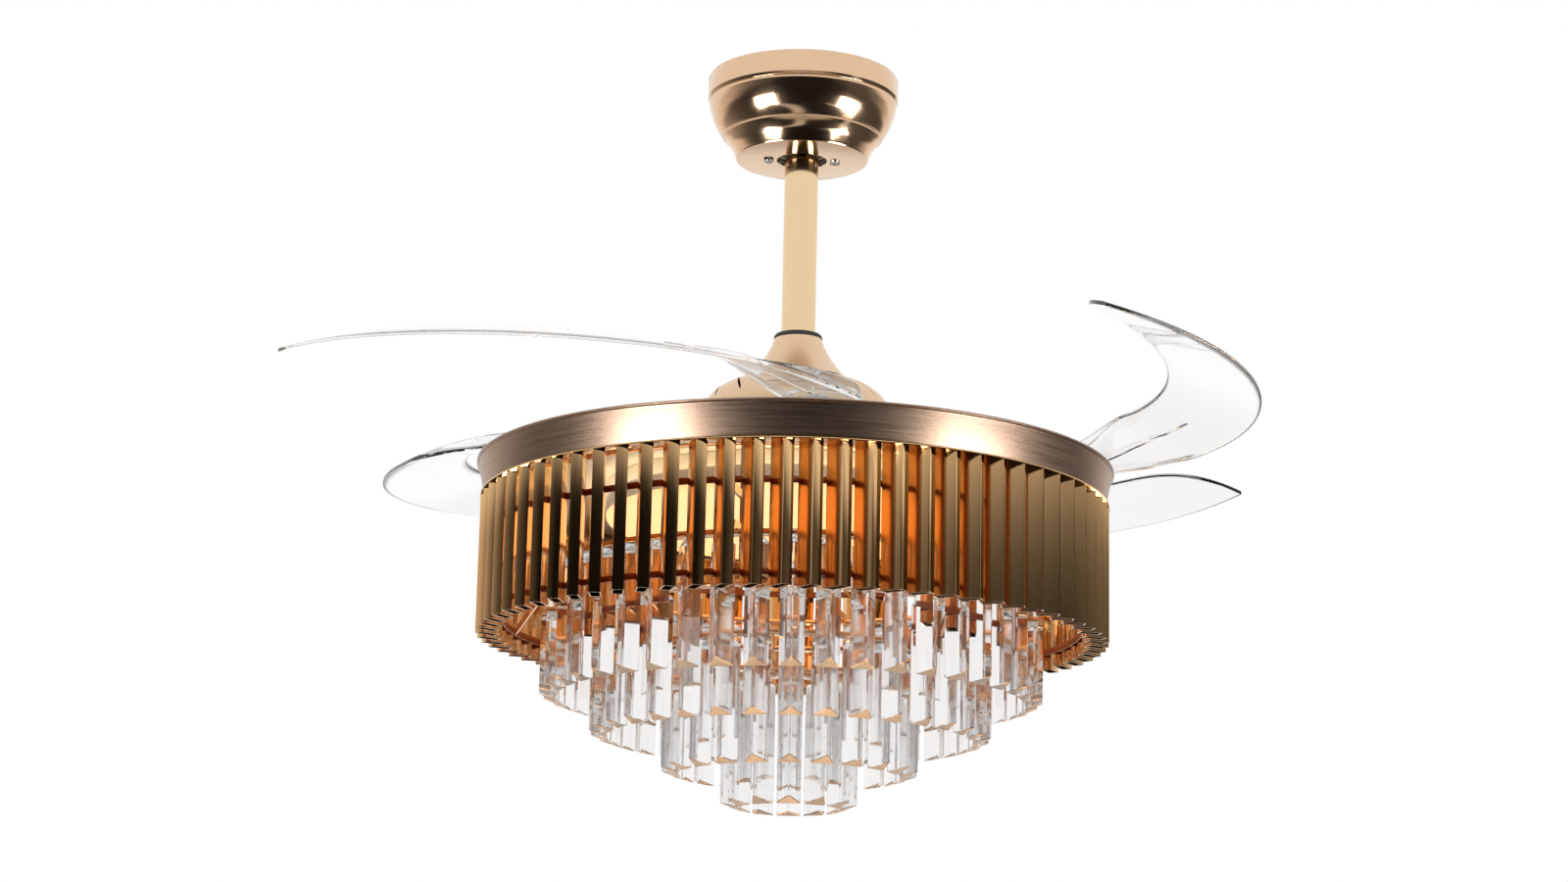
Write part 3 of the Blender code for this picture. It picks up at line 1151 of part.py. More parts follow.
def add_crystal(bm, radius, top, angle):
    """A triangular prism, edge outwards, on a tapered neck that enters the ring above.

    Its foot is cut slantwise, so that the outer edge is the short one.
    """
    half = CRYSTAL_WIDTH / 2
    base = radius - CRYSTAL_DEPTH
    mid = radius - crystal_middle
    bottom = top - CRYSTAL_LENGTH
    plan = [(radius, 0), (base, half), (base, -half)]
    neck = [(mid + (x - mid) * CRYSTAL_NECK_SHARE, y * CRYSTAL_NECK_SHARE) for x, y in plan]
    levels = [(plan, (bottom + CRYSTAL_CUT, bottom, bottom)),
              (plan, (top - CRYSTAL_SHOULDER,) * 3),
              (neck, (top + CRYSTAL_RING_HEIGHT / 2,) * 3)]
    rows = [[bm.verts.new((*turned(x, y, angle), z)) for (x, y), z in zip(points, heights)]
            for points, heights in levels]
    bm.faces.new(list(reversed(rows[0])))
    bm.faces.new(rows[-1])
    for low, high in zip(rows, rows[1:]):
        for k in range(3):
            n = (k + 1) % 3
            bm.faces.new((low[k], low[n], high[n], high[k]))


def build_lamp(mats):
    """Lamp housing, board, driver and opal lens, bolted under the pan by the shaft nut."""
    bore = SHAFT_RADIUS + GAP
    wall = LED_HOUSING_SHEET
    lathe("led_housing", [(bore, housing_top), (led_housing_radius, housing_top),
                          (led_housing_radius, housing_bottom),
                          (led_housing_radius - wall, housing_bottom),
                          (led_housing_radius - wall, housing_top - wall),
                          (bore, housing_top - wall)], ROUND, mats["white_metal"])
    inner = led_housing_radius - wall - GAP
    board_low = housing_bottom + LED_BOARD_LIFT
    board_high = board_low + LED_BOARD_SHEET
    lathe("led_board", [(LED_BOARD_INNER, board_low), (inner, board_low), (inner, board_high),
                        (LED_BOARD_INNER, board_high)], ROUND, mats["board"])
    bm = bmesh.new()
    sx, sy, sz = DRIVER_SIZE
    low = board_high + GAP
    add_box(bm, (DRIVER_X - sx / 2, -sy / 2, low), (DRIVER_X + sx / 2, sy / 2, low + sz))
    finish("led_driver", bm, mats["nylon"])
    lens_top = housing_bottom - GAP
    outer = [(led_housing_radius * share_r, lens_top - DIFFUSER_BULGE * share_z)
             for share_r, share_z in DIFFUSER_SHARES]
    inner = [(r - DIFFUSER_SHEET * r / led_housing_radius, z + DIFFUSER_SHEET)
             for r, z in outer[2:]]
    rim = (led_housing_radius - DIFFUSER_SHEET, lens_top)
    bm = bmesh.new()
    add_turned(bm, outer[::-1] + [rim] + inner, ROUND)
    finish("led_diffuser", bm, mats["opal"])


def main():
    """Build every piece of the fan."""
    clear_scene()
    mats = build_materials()
    build_bracket(mats)
    build_receiver(mats)
    build_ball_joint(mats)
    build_canopy(mats)
    build_rod(mats)
    build_bell(mats)
    build_motor(mats)
    build_tray(mats)
    build_sync_gear(mats)
    build_hubs(mats)
    build_blades(mats)
    build_light_body(mats)
    build_strips(mats)
    build_crystals(mats)
    build_lamp(mats)


main()
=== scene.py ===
import json
import math

import bpy
import numpy as np
from mathutils import Matrix, Vector

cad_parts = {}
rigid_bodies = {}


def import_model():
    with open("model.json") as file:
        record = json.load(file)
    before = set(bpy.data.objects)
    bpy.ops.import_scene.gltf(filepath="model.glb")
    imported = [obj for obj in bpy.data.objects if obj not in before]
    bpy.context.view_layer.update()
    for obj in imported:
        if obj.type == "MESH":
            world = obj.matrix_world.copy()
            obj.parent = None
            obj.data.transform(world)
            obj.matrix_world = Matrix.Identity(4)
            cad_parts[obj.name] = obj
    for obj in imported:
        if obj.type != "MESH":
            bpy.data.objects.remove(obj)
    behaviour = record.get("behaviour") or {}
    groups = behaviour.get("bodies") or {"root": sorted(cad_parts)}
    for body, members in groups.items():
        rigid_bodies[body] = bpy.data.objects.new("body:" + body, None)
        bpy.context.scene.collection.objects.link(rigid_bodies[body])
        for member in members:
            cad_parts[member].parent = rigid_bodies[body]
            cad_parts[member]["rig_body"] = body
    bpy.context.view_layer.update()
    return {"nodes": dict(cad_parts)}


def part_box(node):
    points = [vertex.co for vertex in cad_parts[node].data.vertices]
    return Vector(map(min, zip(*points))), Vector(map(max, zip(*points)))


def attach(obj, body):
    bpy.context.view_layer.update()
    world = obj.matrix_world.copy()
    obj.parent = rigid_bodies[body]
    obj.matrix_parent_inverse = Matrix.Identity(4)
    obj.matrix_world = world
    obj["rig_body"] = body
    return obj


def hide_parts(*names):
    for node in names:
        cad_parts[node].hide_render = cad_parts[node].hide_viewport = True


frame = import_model()
nodes = frame["nodes"]
print("frame loaded,", len(nodes), "nodes")


# Small tools for objects and node trees

# Puts a new object in the scene.
def addObject(name, data):
    item = bpy.data.objects.new(name, data)
    bpy.context.scene.collection.objects.link(item)
    return item


# Hides an object from the given kinds of ray.
def hideFrom(item, *rays):
    for ray in rays:
        setattr(item, f"visible_{ray}", False)


# A new material and its node tree.
def newMaterial(name):
    mat = bpy.data.materials.new(name)
    mat.use_nodes = True
    return mat, mat.node_tree


# Adds a shader node. In values, an output of another node is linked and anything else is set.
def addNode(tree, kind, values=None, **settings):
    node = tree.nodes.new(f"ShaderNode{kind}")
    for name, setting in settings.items():
        setattr(node, name, setting)
    for socket, value in (values or {}).items():
        if isinstance(value, bpy.types.NodeSocket):
            tree.links.new(value, node.inputs[socket])
        else:
            node.inputs[socket].default_value = value
    return node


# Mixes two colours by a factor.
def mixColours(tree, factor, first, second):
    sockets = {0: factor}
    for place, colour in ((6, first), (7, second)):
        linked = isinstance(colour, bpy.types.NodeSocket)
        sockets[place] = colour if linked else (*colour, 1.0)
    return addNode(tree, "Mix", sockets, data_type="RGBA").outputs[2]


# One step of arithmetic on values or other nodes' outputs.
def doMath(tree, operation, first, second=0.0):
    return addNode(tree, "Math", {0: first, 1: second}, operation=operation).outputs[0]


# Carries a value from one range to another, and holds it at the ends.
def changeRange(tree, value, before, after=(0.0, 1.0), kind="SMOOTHSTEP"):
    sockets = {"Value": value, "From Min": before[0], "From Max": before[1],
               "To Min": after[0], "To Max": after[1]}
    return addNode(tree, "MapRange", sockets, interpolation_type=kind).outputs[0]


# Camera, light and stage

cameraView = {
    "lens": 77.075, "sensor": 36.0, "near": 0.05, "far": 60.0,
    "place": (0.0, -2.6179, -0.9206), "pitch": 13.2266, "turn": 0.2102, "roll": 1.2423}


# The camera looks along +Y, tipped up by the pitch, after a roll about its own line of sight.
def addCamera(values):
    data = bpy.data.cameras.new("photoCamera")
    data.lens = values["lens"]
    data.sensor_width = values["sensor"]
    data.clip_start = values["near"]
    data.clip_end = values["far"]
    item = addObject("photoCamera", data)
    item.matrix_world = (Matrix.Translation(values["place"])
                         @ Matrix.Rotation(math.radians(values["turn"]), 4, "Z")
                         @ Matrix.Rotation(math.radians(90 + values["pitch"]), 4, "X")
                         @ Matrix.Rotation(math.radians(values["roll"]), 4, "Z"))
    bpy.context.scene.camera = item


worldLight = {"diffuse": 0.62, "shown": 1.0, "colour": (1.0, 0.985, 0.97)}


# Plain white world: full white to the eye and in reflections, lower as light on matt surfaces.
def addWorld(values):
    world = bpy.data.worlds.new("studio")
    bpy.context.scene.world = world
    world.use_nodes = True
    tree = world.node_tree
    tree.nodes.clear()
    rays = addNode(tree, "LightPath").outputs
    shown = doMath(tree, "MAXIMUM", rays["Is Camera Ray"], rays["Is Glossy Ray"])
    shown = doMath(tree, "MAXIMUM", shown, rays["Is Transmission Ray"])
    level = changeRange(tree, shown, (0.0, 1.0), (values["diffuse"], values["shown"]), "LINEAR")
    tone = mixColours(tree, rays["Is Camera Ray"], values["colour"], (1.0, 1.0, 1.0))
    background = addNode(tree, "Background", {"Color": tone, "Strength": level})
    addNode(tree, "OutputWorld", {"Surface": background.outputs[0]})


softboxes = {
    "range": 2.2, "height": -1.25, "aim": (0.0, 0.0, -0.25), "colour": (1.0, 0.98, 0.95),
    "lamps": {"left": {"bearing": -52.0, "size": (1.10, 0.78), "power": 42.0},
              "right": {"bearing": 65.0, "size": (1.20, 0.78), "power": 45.0}}}


# Two large softboxes, below the fan and to both sides of the camera, aimed at it.
def addSoftboxes(values):
    for name, lamp in values["lamps"].items():
        bearing = math.radians(lamp["bearing"])
        spot = Vector((values["range"] * math.sin(bearing), -values["range"] * math.cos(bearing),
                       values["height"]))
        data = bpy.data.lights.new(f"softbox_{name}", "AREA")
        data.shape = "RECTANGLE"
        data.size, data.size_y = lamp["size"]
        data.energy = lamp["power"]
        data.color = values["colour"]
        item = addObject(f"softbox_{name}", data)
        item.location = spot
        item.rotation_euler = (Vector(values["aim"]) - spot).to_track_quat("-Z", "Y").to_euler()
        hideFrom(item, "camera", "transmission")


lampLight = {"radius": 0.165, "drop": 0.012, "power": 0.52, "colour": (1.0, 0.77, 0.40)}


# The lamp's own warm light on the matt parts above it: a wide disc under the pan, facing up.
def addLampLight(values):
    data = bpy.data.lights.new("lampLight", "AREA")
    data.shape = "DISK"
    data.size = 2 * values["radius"]
    data.energy = values["power"]
    data.color = values["colour"]
    item = addObject("lampLight", data)
    item.location = (0.0, 0.0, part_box("light_pan")[0].z - values["drop"])
    item.rotation_euler = (math.pi, 0.0, 0.0)
    hideFrom(item, "camera", "glossy", "transmission")


# A matt material of two close tones, mixed by a noise on Object coordinates.
def makeMatt(name, values):
    mat, tree = newMaterial(name)
    shader = tree.nodes["Principled BSDF"]
    shader.inputs["Roughness"].default_value = values["rough"]
    coords = addNode(tree, "TexCoord").outputs["Object"]
    grain = addNode(tree, "TexNoise", {"Vector": coords, "Scale": values["grain"]}).outputs["Fac"]
    second = [c * values["ratio"] for c in values["colour"]]
    tree.links.new(mixColours(tree, grain, values["colour"], second), shader.inputs["Base Color"])
    return mat


floorLook = {
    "level": -3.0, "half": 14.0, "colour": (0.86, 0.85, 0.83), "ratio": 1.03,
    "rough": 0.9, "grain": 3.0, "fade": (3.0, 9.0)}


# Pale level floor, well below the fan, that fades to the white of the world with its distance.
def addFloor(values):
    half = values["half"]
    corners = [(half * x, half * y, values["level"]) for x, y in ((-1, -1), (1, -1), (1, 1), (-1, 1))]
    mesh = bpy.data.meshes.new("floor")
    mesh.from_pydata(corners, [], [(0, 1, 2, 3)])
    mat = makeMatt("paleFloor", values)
    tree = mat.node_tree
    coords = addNode(tree, "TexCoord").outputs["Object"]
    flat = addNode(tree, "VectorMath", {0: coords, 1: (1.0, 1.0, 0.0)}, operation="MULTIPLY")
    reach = addNode(tree, "VectorMath", {0: flat.outputs[0]}, operation="LENGTH").outputs["Value"]
    fade = changeRange(tree, reach, values["fade"])
    glow = addNode(tree, "Emission").outputs[0]
    blend = addNode(tree, "MixShader", {0: fade, 1: tree.nodes["Principled BSDF"].outputs[0], 2: glow})
    tree.links.new(blend.outputs[0], tree.nodes["Material Output"].inputs["Surface"])
    mesh.materials.append(mat)
    addObject("floor", mesh)


ceilingPatch = {
    "radius": 0.077, "level": 0.003, "steps": 64, "colour": (0.20, 0.19, 0.18),
    "ratio": 0.9, "rough": 0.9, "grain": 60.0}


# The patch of ceiling over the canopy, which keeps light out of it: one round face with edge
# x = r cos a, y = r sin a. The camera doesn't see it, so that the bracket shows from above.
def addCeilingPatch(values):
    a = np.linspace(0, 2 * math.pi, values["steps"], endpoint=False)
    points = np.stack([values["radius"] * np.cos(a), values["radius"] * np.sin(a),
                       values["level"] + 0 * a], -1)
    mesh = bpy.data.meshes.new("ceilingPatch")
    mesh.from_pydata(points.tolist(), [], [tuple(range(values["steps"]))])
    mesh.materials.append(makeMatt("plaster", values))
    item = addObject("ceilingPatch", mesh)
    hideFrom(item, "camera")


# Bearings, elevations and widths in degrees; each level is a bearing and how light the room is.
darkSide = {
    "radius": 2.75, "centre": (0.0, 0.0, -0.3), "side": 150.0, "top": 16.0,
    "rows": 61, "columns": 37,
    "edge": (10.8, 9.5), "edgeAt": (30.0, 88.0), "edgeSpan": (-1.4, 1.4),
    "levels": ((-140, 1.0), (-126, 0.90), (-112, 0.75), (-98, 0.58), (-88, 0.44),
               (-78, 0.30), (-68, 0.19), (-56, 0.10), (-38, 0.04), (-26, 0.008),
               (26, 0.008), (38, 0.04), (56, 0.08), (66, 0.09), (77, 0.08), (88, 0.13),
               (99, 0.19), (109, 0.32), (120, 0.50), (128, 0.70), (140, 1.0)),
    "lowAt": (-7.0, 3.0), "lowShift": (44.0, 0.0), "tint": (1.0, 0.90, 0.82)}


# The unlit room behind the camera, seen only in reflections: part of a sphere, each point at
# centre + radius * (sin b cos e, -cos b cos e, sin e) for bearing b and elevation e. Its level
# follows b, moved towards the sides below the horizon, and it ends at an upper edge.
def addDarkSide(values):
    rows, columns, side = values["rows"], values["columns"], values["side"]
    b = np.radians(np.linspace(-side, side, rows))[:, None]
    e = np.radians(np.linspace(-90.0, values["top"], columns))[None, :]
    points = np.stack([np.sin(b) * np.cos(e), -np.cos(b) * np.cos(e), np.sin(e) + 0 * b], -1)
    points = points * values["radius"] + np.array(values["centre"])
    mesh = bpy.data.meshes.new("darkSide")
    mesh.from_pydata(points.reshape(-1, 3).tolist(), [], gridQuads(rows, columns).tolist())
    mat, tree = newMaterial("darkRoom")
    tree.nodes.clear()

    def work(*terms):
        return doMath(tree, *terms)

    coords = addNode(tree, "TexCoord").outputs["Object"]
    shift = addNode(tree, "VectorMath", {0: coords, 1: values["centre"]}, operation="SUBTRACT")
    x, y, z = addNode(tree, "SeparateXYZ", {0: shift.outputs[0]}).outputs
    elevation = work("MULTIPLY", work("ARCSINE", work("DIVIDE", z, values["radius"])), 180 / math.pi)
    turned = work("ARCTAN2", x, work("MULTIPLY", y, -1.0))
    bearing = work("MULTIPLY", work("ABSOLUTE", turned), 180 / math.pi)
    edge = changeRange(tree, bearing, values["edgeAt"], values["edge"])
    clear = changeRange(tree, work("SUBTRACT", elevation, edge), values["edgeSpan"])
    low = changeRange(tree, elevation, values["lowAt"], values["lowShift"])
    moved = work("MULTIPLY", work("MAXIMUM", work("SUBTRACT", bearing, low), 0.0), work("SIGN", x))
    place = work("ADD", work("DIVIDE", moved, 2 * side), 0.5)
    ramp = addNode(tree, "ValToRGB", {0: place})
    stops = ramp.color_ramp.elements
    stops.remove(stops[1])
    stops[0].position = 0.0
    for at, level in values["levels"]:
        stops.new(0.5 + at / side / 2).color = (*[level * t for t in values["tint"]], 1.0)
    stops[0].color = stops[1].color
    dark = addNode(tree, "Emission", {"Color": ramp.outputs[0]}).outputs[0]
    air = addNode(tree, "BsdfTransparent").outputs[0]
    blend = addNode(tree, "MixShader", {0: clear, 1: dark, 2: air})
    addNode(tree, "OutputMaterial", {"Surface": blend.outputs[0]})
    mesh.materials.append(mat)
    item = addObject("darkSide", mesh)
    hideFrom(item, "camera", "diffuse", "shadow", "transmission", "volume_scatter")


# Finishes

finishDefaults = {
    "stretch": (1.0, 1.0, 1.0), "toneScale": 14.0, "roughScale": 30.0,
    "detail": (5.0, 4.0, 3.0), "noiseSpan": (0.3, 0.7), "bump": 0.0, "bumpHeight": 0.0004,
    "metallic": 0.0, "aniso": 0.0, "transmission": 0.0, "ior": 1.5, "coat": 0.0,
    "coatRough": 0.05}


# One finish, read from Object coordinates: two tones mixed by a stretched noise, a roughness
# between two values from a second noise, and a fine bump. Faces marked broad take their own
# roughness and colour where the finish has them. The fixed values go on the shader.
def makeFinish(name, look):
    look = {**finishDefaults, **look}
    mat, tree = newMaterial(name)
    shader = tree.nodes["Principled BSDF"]
    coords = addNode(tree, "TexCoord").outputs["Object"]

    def noise(stretch, scale, detail):
        spread = addNode(tree, "Mapping", {"Vector": coords, "Scale": stretch}).outputs[0]
        sockets = {"Vector": spread, "Scale": scale, "Detail": detail}
        return addNode(tree, "TexNoise", sockets).outputs["Fac"]

    toneDetail, roughDetail, grainDetail = look["detail"]
    colour = mixColours(tree, noise(look["stretch"], look["toneScale"], toneDetail),
                        look["colour"], look["second"])
    level = changeRange(tree, noise(look["stretch"], look["roughScale"], roughDetail),
                        look["noiseSpan"], look["rough"], "LINEAR")
    if "broadRough" in look:
        mark = addNode(tree, "Attribute", attribute_name="broad").outputs["Fac"]
        level = addNode(tree, "Mix", {0: mark, 2: level, 3: look["broadRough"]}).outputs[0]
        if "broadColour" in look:
            colour = mixColours(tree, mark, colour, look["broadColour"])
    tree.links.new(colour, shader.inputs["Base Color"])
    tree.links.new(level, shader.inputs["Roughness"])
    if look["bump"]:
        grain = noise(look.get("grainStretch", look["stretch"]), look["grainScale"], grainDetail)
        relief = addNode(tree, "Bump", {"Strength": look["bump"], "Distance": look["bumpHeight"],
                                        "Height": grain})
        tree.links.new(relief.outputs[0], shader.inputs["Normal"])
    if look["aniso"]:
        along = addNode(tree, "Tangent", direction_type="RADIAL", axis="Z")
        tree.links.new(along.outputs[0], shader.inputs["Tangent"])
    for socket, key in (("Metallic", "metallic"), ("Anisotropic", "aniso"),
                        ("Transmission Weight", "transmission"), ("IOR", "ior"),
                        ("Coat Weight", "coat"), ("Coat Roughness", "coatRough")):
        shader.inputs[socket].default_value = look[key]
    if "glow" in look:
        shader.inputs["Emission Color"].default_value = (*look["glowColour"], 1.0)
        shader.inputs["Emission Strength"].default_value = look["glow"]
    return mat


finishes = {
    "polished_gold": {
        "colour": (0.76, 0.53, 0.35), "second": (0.73, 0.50, 0.32), "metallic": 1.0,
        "rough": (0.11, 0.16), "bump": 0.02, "grainScale": 60.0},
    "satin_gold": {
        "colour": (0.82, 0.63, 0.39), "second": (0.79, 0.60, 0.36), "metallic": 1.0,
        "rough": (0.08, 0.12), "stretch": (8.0, 8.0, 0.6), "bump": 0.05, "grainScale": 160.0,
        "grainStretch": (1.0, 1.0, 0.1)},
    "champagne": {
        "colour": (0.80, 0.58, 0.38), "second": (0.76, 0.54, 0.34), "metallic": 0.85,
        "rough": (0.34, 0.42), "bump": 0.04, "grainScale": 900.0, "coat": 0.3, "coatRough": 0.15},
    "brushed_gold": {
        "colour": (0.37, 0.256, 0.190), "second": (0.33, 0.226, 0.168), "metallic": 1.0,
        "rough": (0.25, 0.31), "stretch": (3.0, 3.0, 120.0), "toneScale": 4.0, "roughScale": 6.0,
        "bump": 0.05, "grainScale": 20.0, "grainStretch": (2.0, 2.0, 160.0), "aniso": 0.4},
    "strip_gold": {
        "colour": (0.80, 0.51, 0.25), "second": (0.76, 0.47, 0.22), "metallic": 1.0,
        "rough": (0.04, 0.07), "broadRough": 0.15, "stretch": (20.0, 20.0, 1.0), "toneScale": 6.0,
        "bump": 0.02, "grainScale": 40.0, "grainStretch": (10.0, 10.0, 0.5)},
    # The hoops' finish is a copper tone made darker partly as painted shade, for hoops that sit in
    # shade behind the strips.
    "dark_copper": {
        "colour": (0.30, 0.10, 0.05), "second": (0.24, 0.08, 0.04), "metallic": 1.0,
        "rough": (0.24, 0.34), "bump": 0.05, "grainScale": 200.0},
    "steel": {
        "colour": (0.62, 0.62, 0.63), "second": (0.50, 0.50, 0.52), "metallic": 1.0,
        "rough": (0.22, 0.36), "bump": 0.05, "grainScale": 300.0},
    "white_metal": {
        "colour": (0.84, 0.78, 0.70), "second": (0.81, 0.75, 0.66), "rough": (0.38, 0.5),
        "bump": 0.05, "grainScale": 700.0, "coat": 0.2},
    "black_rubber": {
        "colour": (0.020, 0.019, 0.019), "second": (0.030, 0.028, 0.027), "rough": (0.55, 0.75),
        "bump": 0.15, "grainScale": 900.0},
    "nylon": {
        "colour": (0.82, 0.80, 0.74), "second": (0.78, 0.76, 0.70), "rough": (0.4, 0.55),
        "bump": 0.06, "grainScale": 500.0},
    "black_plastic": {
        "colour": (0.026, 0.026, 0.028), "second": (0.036, 0.036, 0.038), "rough": (0.36, 0.5),
        "bump": 0.08, "grainScale": 600.0},
    "copper": {
        "colour": (0.72, 0.36, 0.20), "second": (0.60, 0.28, 0.15), "metallic": 1.0,
        "rough": (0.25, 0.4), "stretch": (1.0, 1.0, 40.0), "bump": 0.4, "grainScale": 40.0,
        "coat": 0.4},
    "magnet": {
        "colour": (0.11, 0.11, 0.12), "second": (0.16, 0.16, 0.17), "metallic": 0.6,
        "rough": (0.4, 0.55), "bump": 0.1, "grainScale": 400.0},
    "clear_acrylic": {
        "colour": (0.98, 0.985, 1.0), "second": (0.985, 0.99, 1.0), "rough": (0.0, 0.03),
        "transmission": 1.0, "ior": 1.49, "bump": 0.01, "grainScale": 30.0},
    "crystal": {
        "colour": (0.94, 0.94, 0.94), "second": (0.925, 0.925, 0.93), "rough": (0.02, 0.05),
        "broadRough": 0.42, "broadColour": (0.84, 0.89, 0.94), "transmission": 1.0, "ior": 1.54,
        "bump": 0.01, "grainScale": 90.0},
    "opal": {
        "colour": (0.55, 0.44, 0.30), "second": (0.50, 0.40, 0.27), "rough": (0.35, 0.5),
        "bump": 0.03, "grainScale": 300.0, "glow": 1.30, "glowColour": (1.0, 0.53, 0.21)},
    "board": {
        "colour": (0.80, 0.80, 0.76), "second": (0.74, 0.74, 0.70), "rough": (0.4, 0.55),
        "bump": 0.05, "grainScale": 300.0},
}


# Surface tools. A shape is its points and a list of face arrays.

# A grid of rows by columns becomes quads: each point with its neighbour across, along and both.
def gridQuads(rows, columns, closeRows=False, closeColumns=False):
    i = np.arange(rows if closeRows else rows - 1)[:, None]
    j = np.arange(columns if closeColumns else columns - 1)[None, :]
    across, along = (j + 1) % columns, (i + 1) % rows
    corners = [i * columns + j, i * columns + across, along * columns + across, along * columns + j]
    return np.stack(np.broadcast_arrays(*corners), -1).reshape(-1, 4)


# Each corner P of a closed outline becomes the curve (1-t)^2 A + 2t(1-t) P + t^2 B, where A and B
# lie on its two sides at the given reach, or at 0.45 of a side that is too short.
def roundCorners(outline, reach, count=4):
    p = np.asarray(outline, float)
    before, after = np.roll(p, 1, 0) - p, np.roll(p, -1, 0) - p
    lengthBefore = np.linalg.norm(before, axis=1, keepdims=True)
    lengthAfter = np.linalg.norm(after, axis=1, keepdims=True)
    reach = np.broadcast_to(np.asarray(reach, float).reshape(-1, 1), lengthBefore.shape)
    a = p + before * np.minimum(reach, 0.45 * lengthBefore) / lengthBefore
    b = p + after * np.minimum(reach, 0.45 * lengthAfter) / lengthAfter
    t = np.linspace(0, 1, count)[None, :, None]
    curve = (1 - t) ** 2 * a[:, None] + 2 * t * (1 - t) * p[:, None] + t ** 2 * b[:, None]
    return curve.reshape(-1, p.shape[1])


# A smooth line through the given points: between P1 and P2 the cubic with tangents (P2-P0)/2 and
# (P3-P1)/2.
def smoothLine(points, count=8):
    p = np.asarray(points, float)
    p = np.concatenate([p[:1] * 2 - p[1:2], p, p[-1:] * 2 - p[-2:-1]])
    t = np.linspace(0, 1, count, endpoint=False)[None, :, None]
    p0, p1, p2, p3 = p[:-3, None], p[1:-2, None], p[2:-1, None], p[3:, None]
    curve = 0.5 * (2 * p1 + (p2 - p0) * t + (2 * p0 - 5 * p1 + 4 * p2 - p3) * t ** 2
                   + (3 * p1 - p0 - 3 * p2 + p3) * t ** 3)
    return np.concatenate([curve.reshape(-1, p.shape[1]), p[-2:-1]])


# A smooth step from 0 to 1: x^2 (3 - 2x), level before and after.
def smoothStep(x):
    x = np.clip(x, 0.0, 1.0)
    return x * x * (3 - 2 * x)


# A closed (radius, height) outline turned about Z: x = r cos a, y = r sin a, z = height.
def turnOutline(outline, steps, centre=(0.0, 0.0)):
    outline = np.asarray(outline, float)
    a = np.linspace(0, 2 * math.pi, steps, endpoint=False)[None, :]
    r, z = outline[:, 0:1], outline[:, 1:2]
    points = np.stack([centre[0] + r * np.cos(a), centre[1] + r * np.sin(a), z + 0 * a], -1)
    return points.reshape(-1, 3), [gridQuads(len(outline), steps, True, True)]


# The two flat faces that close a stack of loops of count points each.
def endFaces(rows, count):
    return np.stack([np.arange(count)[::-1], (rows - 1) * count + np.arange(count)])


# An open (radius, height) line turned about Z, with both ends closed by a flat face.
def turnSolid(line, steps, centre=(0.0, 0.0)):
    points, _ = turnOutline(line, steps, centre)
    return points, [gridQuads(len(line), steps, False, True), endFaces(len(line), steps)]


# A ring with a rectangular section, its four edges eased, turned about Z.
def turnRing(inner, outer, low, high, ease, steps, centre=(0.0, 0.0)):
    section = [(outer, low), (outer, high), (inner, high), (inner, low)]
    return turnOutline(roundCorners(section, ease), steps, centre)


# Matching loops, one above another: row k is loop k, and the two ends are flat faces.
def stackLoops(loops):
    loops = np.asarray(loops, float)
    rows, count = loops.shape[:2]
    return loops.reshape(-1, 3), [gridQuads(rows, count, False, True), endFaces(rows, count)]


# A plan outline as a loop of points at height z.
def loopAt(plan, z):
    return np.column_stack([plan, np.full(len(plan), z)])


# An upright prism: the same plan outline at two heights.
def makePrism(plan, low, high):
    return stackLoops([loopAt(plan, low), loopAt(plan, high)])


# Copies turned about the fan's axis by each angle a: x' = x cos a - y sin a,
# y' = x sin a + y cos a.
def turnCopies(shape, angles):
    points, faces = shape
    a = np.asarray(angles, float)[:, None]
    x, y, z = points.T
    turned = np.stack([x * np.cos(a) - y * np.sin(a), x * np.sin(a) + y * np.cos(a), z + 0 * a], -1)
    offset = len(points) * np.arange(len(a))[:, None, None]
    return turned.reshape(-1, 3), [(f[None] + offset).reshape(-1, f.shape[1]) for f in faces]


# Equal turns round the axis, starting from an angle in degrees.
def evenTurns(count, first):
    return math.radians(first) + math.tau * np.arange(count) / count


# Several shapes as one: their points one after another, and their faces moved on by as many.
def together(*shapes):
    points, faces, start = [], [], 0
    for shape, quads in shapes:
        points.append(shape)
        faces += [f + start for f in quads]
        start += len(shape)
    return np.concatenate(points), faces


# Makes the mesh of a closed shape. Its signed volume, the sum of p0 . (p1 x p2) / 6 over the
# triangles, tells whether the faces look outwards.
def makeMesh(name, shape, finish, sharp=35.0, marks=None):
    points, faces = shape
    volume = 0.0
    for f in faces:
        for k in range(1, f.shape[1] - 1):
            across = np.cross(points[f[:, k]], points[f[:, k + 1]])
            volume += np.einsum("ij,ij->", points[f[:, 0]], across)
    if volume < 0:
        faces = [f[:, ::-1] for f in faces]
    mesh = bpy.data.meshes.new(name)
    mesh.from_pydata(points.tolist(), [], [row for f in faces for row in f.tolist()])
    mesh.materials.append(materials[finish])
    if marks is not None:
        mesh.attributes.new("broad", "FLOAT", "FACE").data.foreach_set("value", marks)
    mesh.shade_smooth()
    mesh.set_sharp_from_angle(angle=math.radians(sharp))
    return mesh


# Puts a finished piece on the body that carries its node, in the node's place.
def putPiece(name, shape, finish, node, replaced=True, sharp=35.0):
    made = isinstance(shape, bpy.types.Mesh)
    piece = addObject(name, shape if made else makeMesh(name, shape, finish, sharp))
    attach(piece, nodes[node]["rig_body"])
    if replaced:
        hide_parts(node)


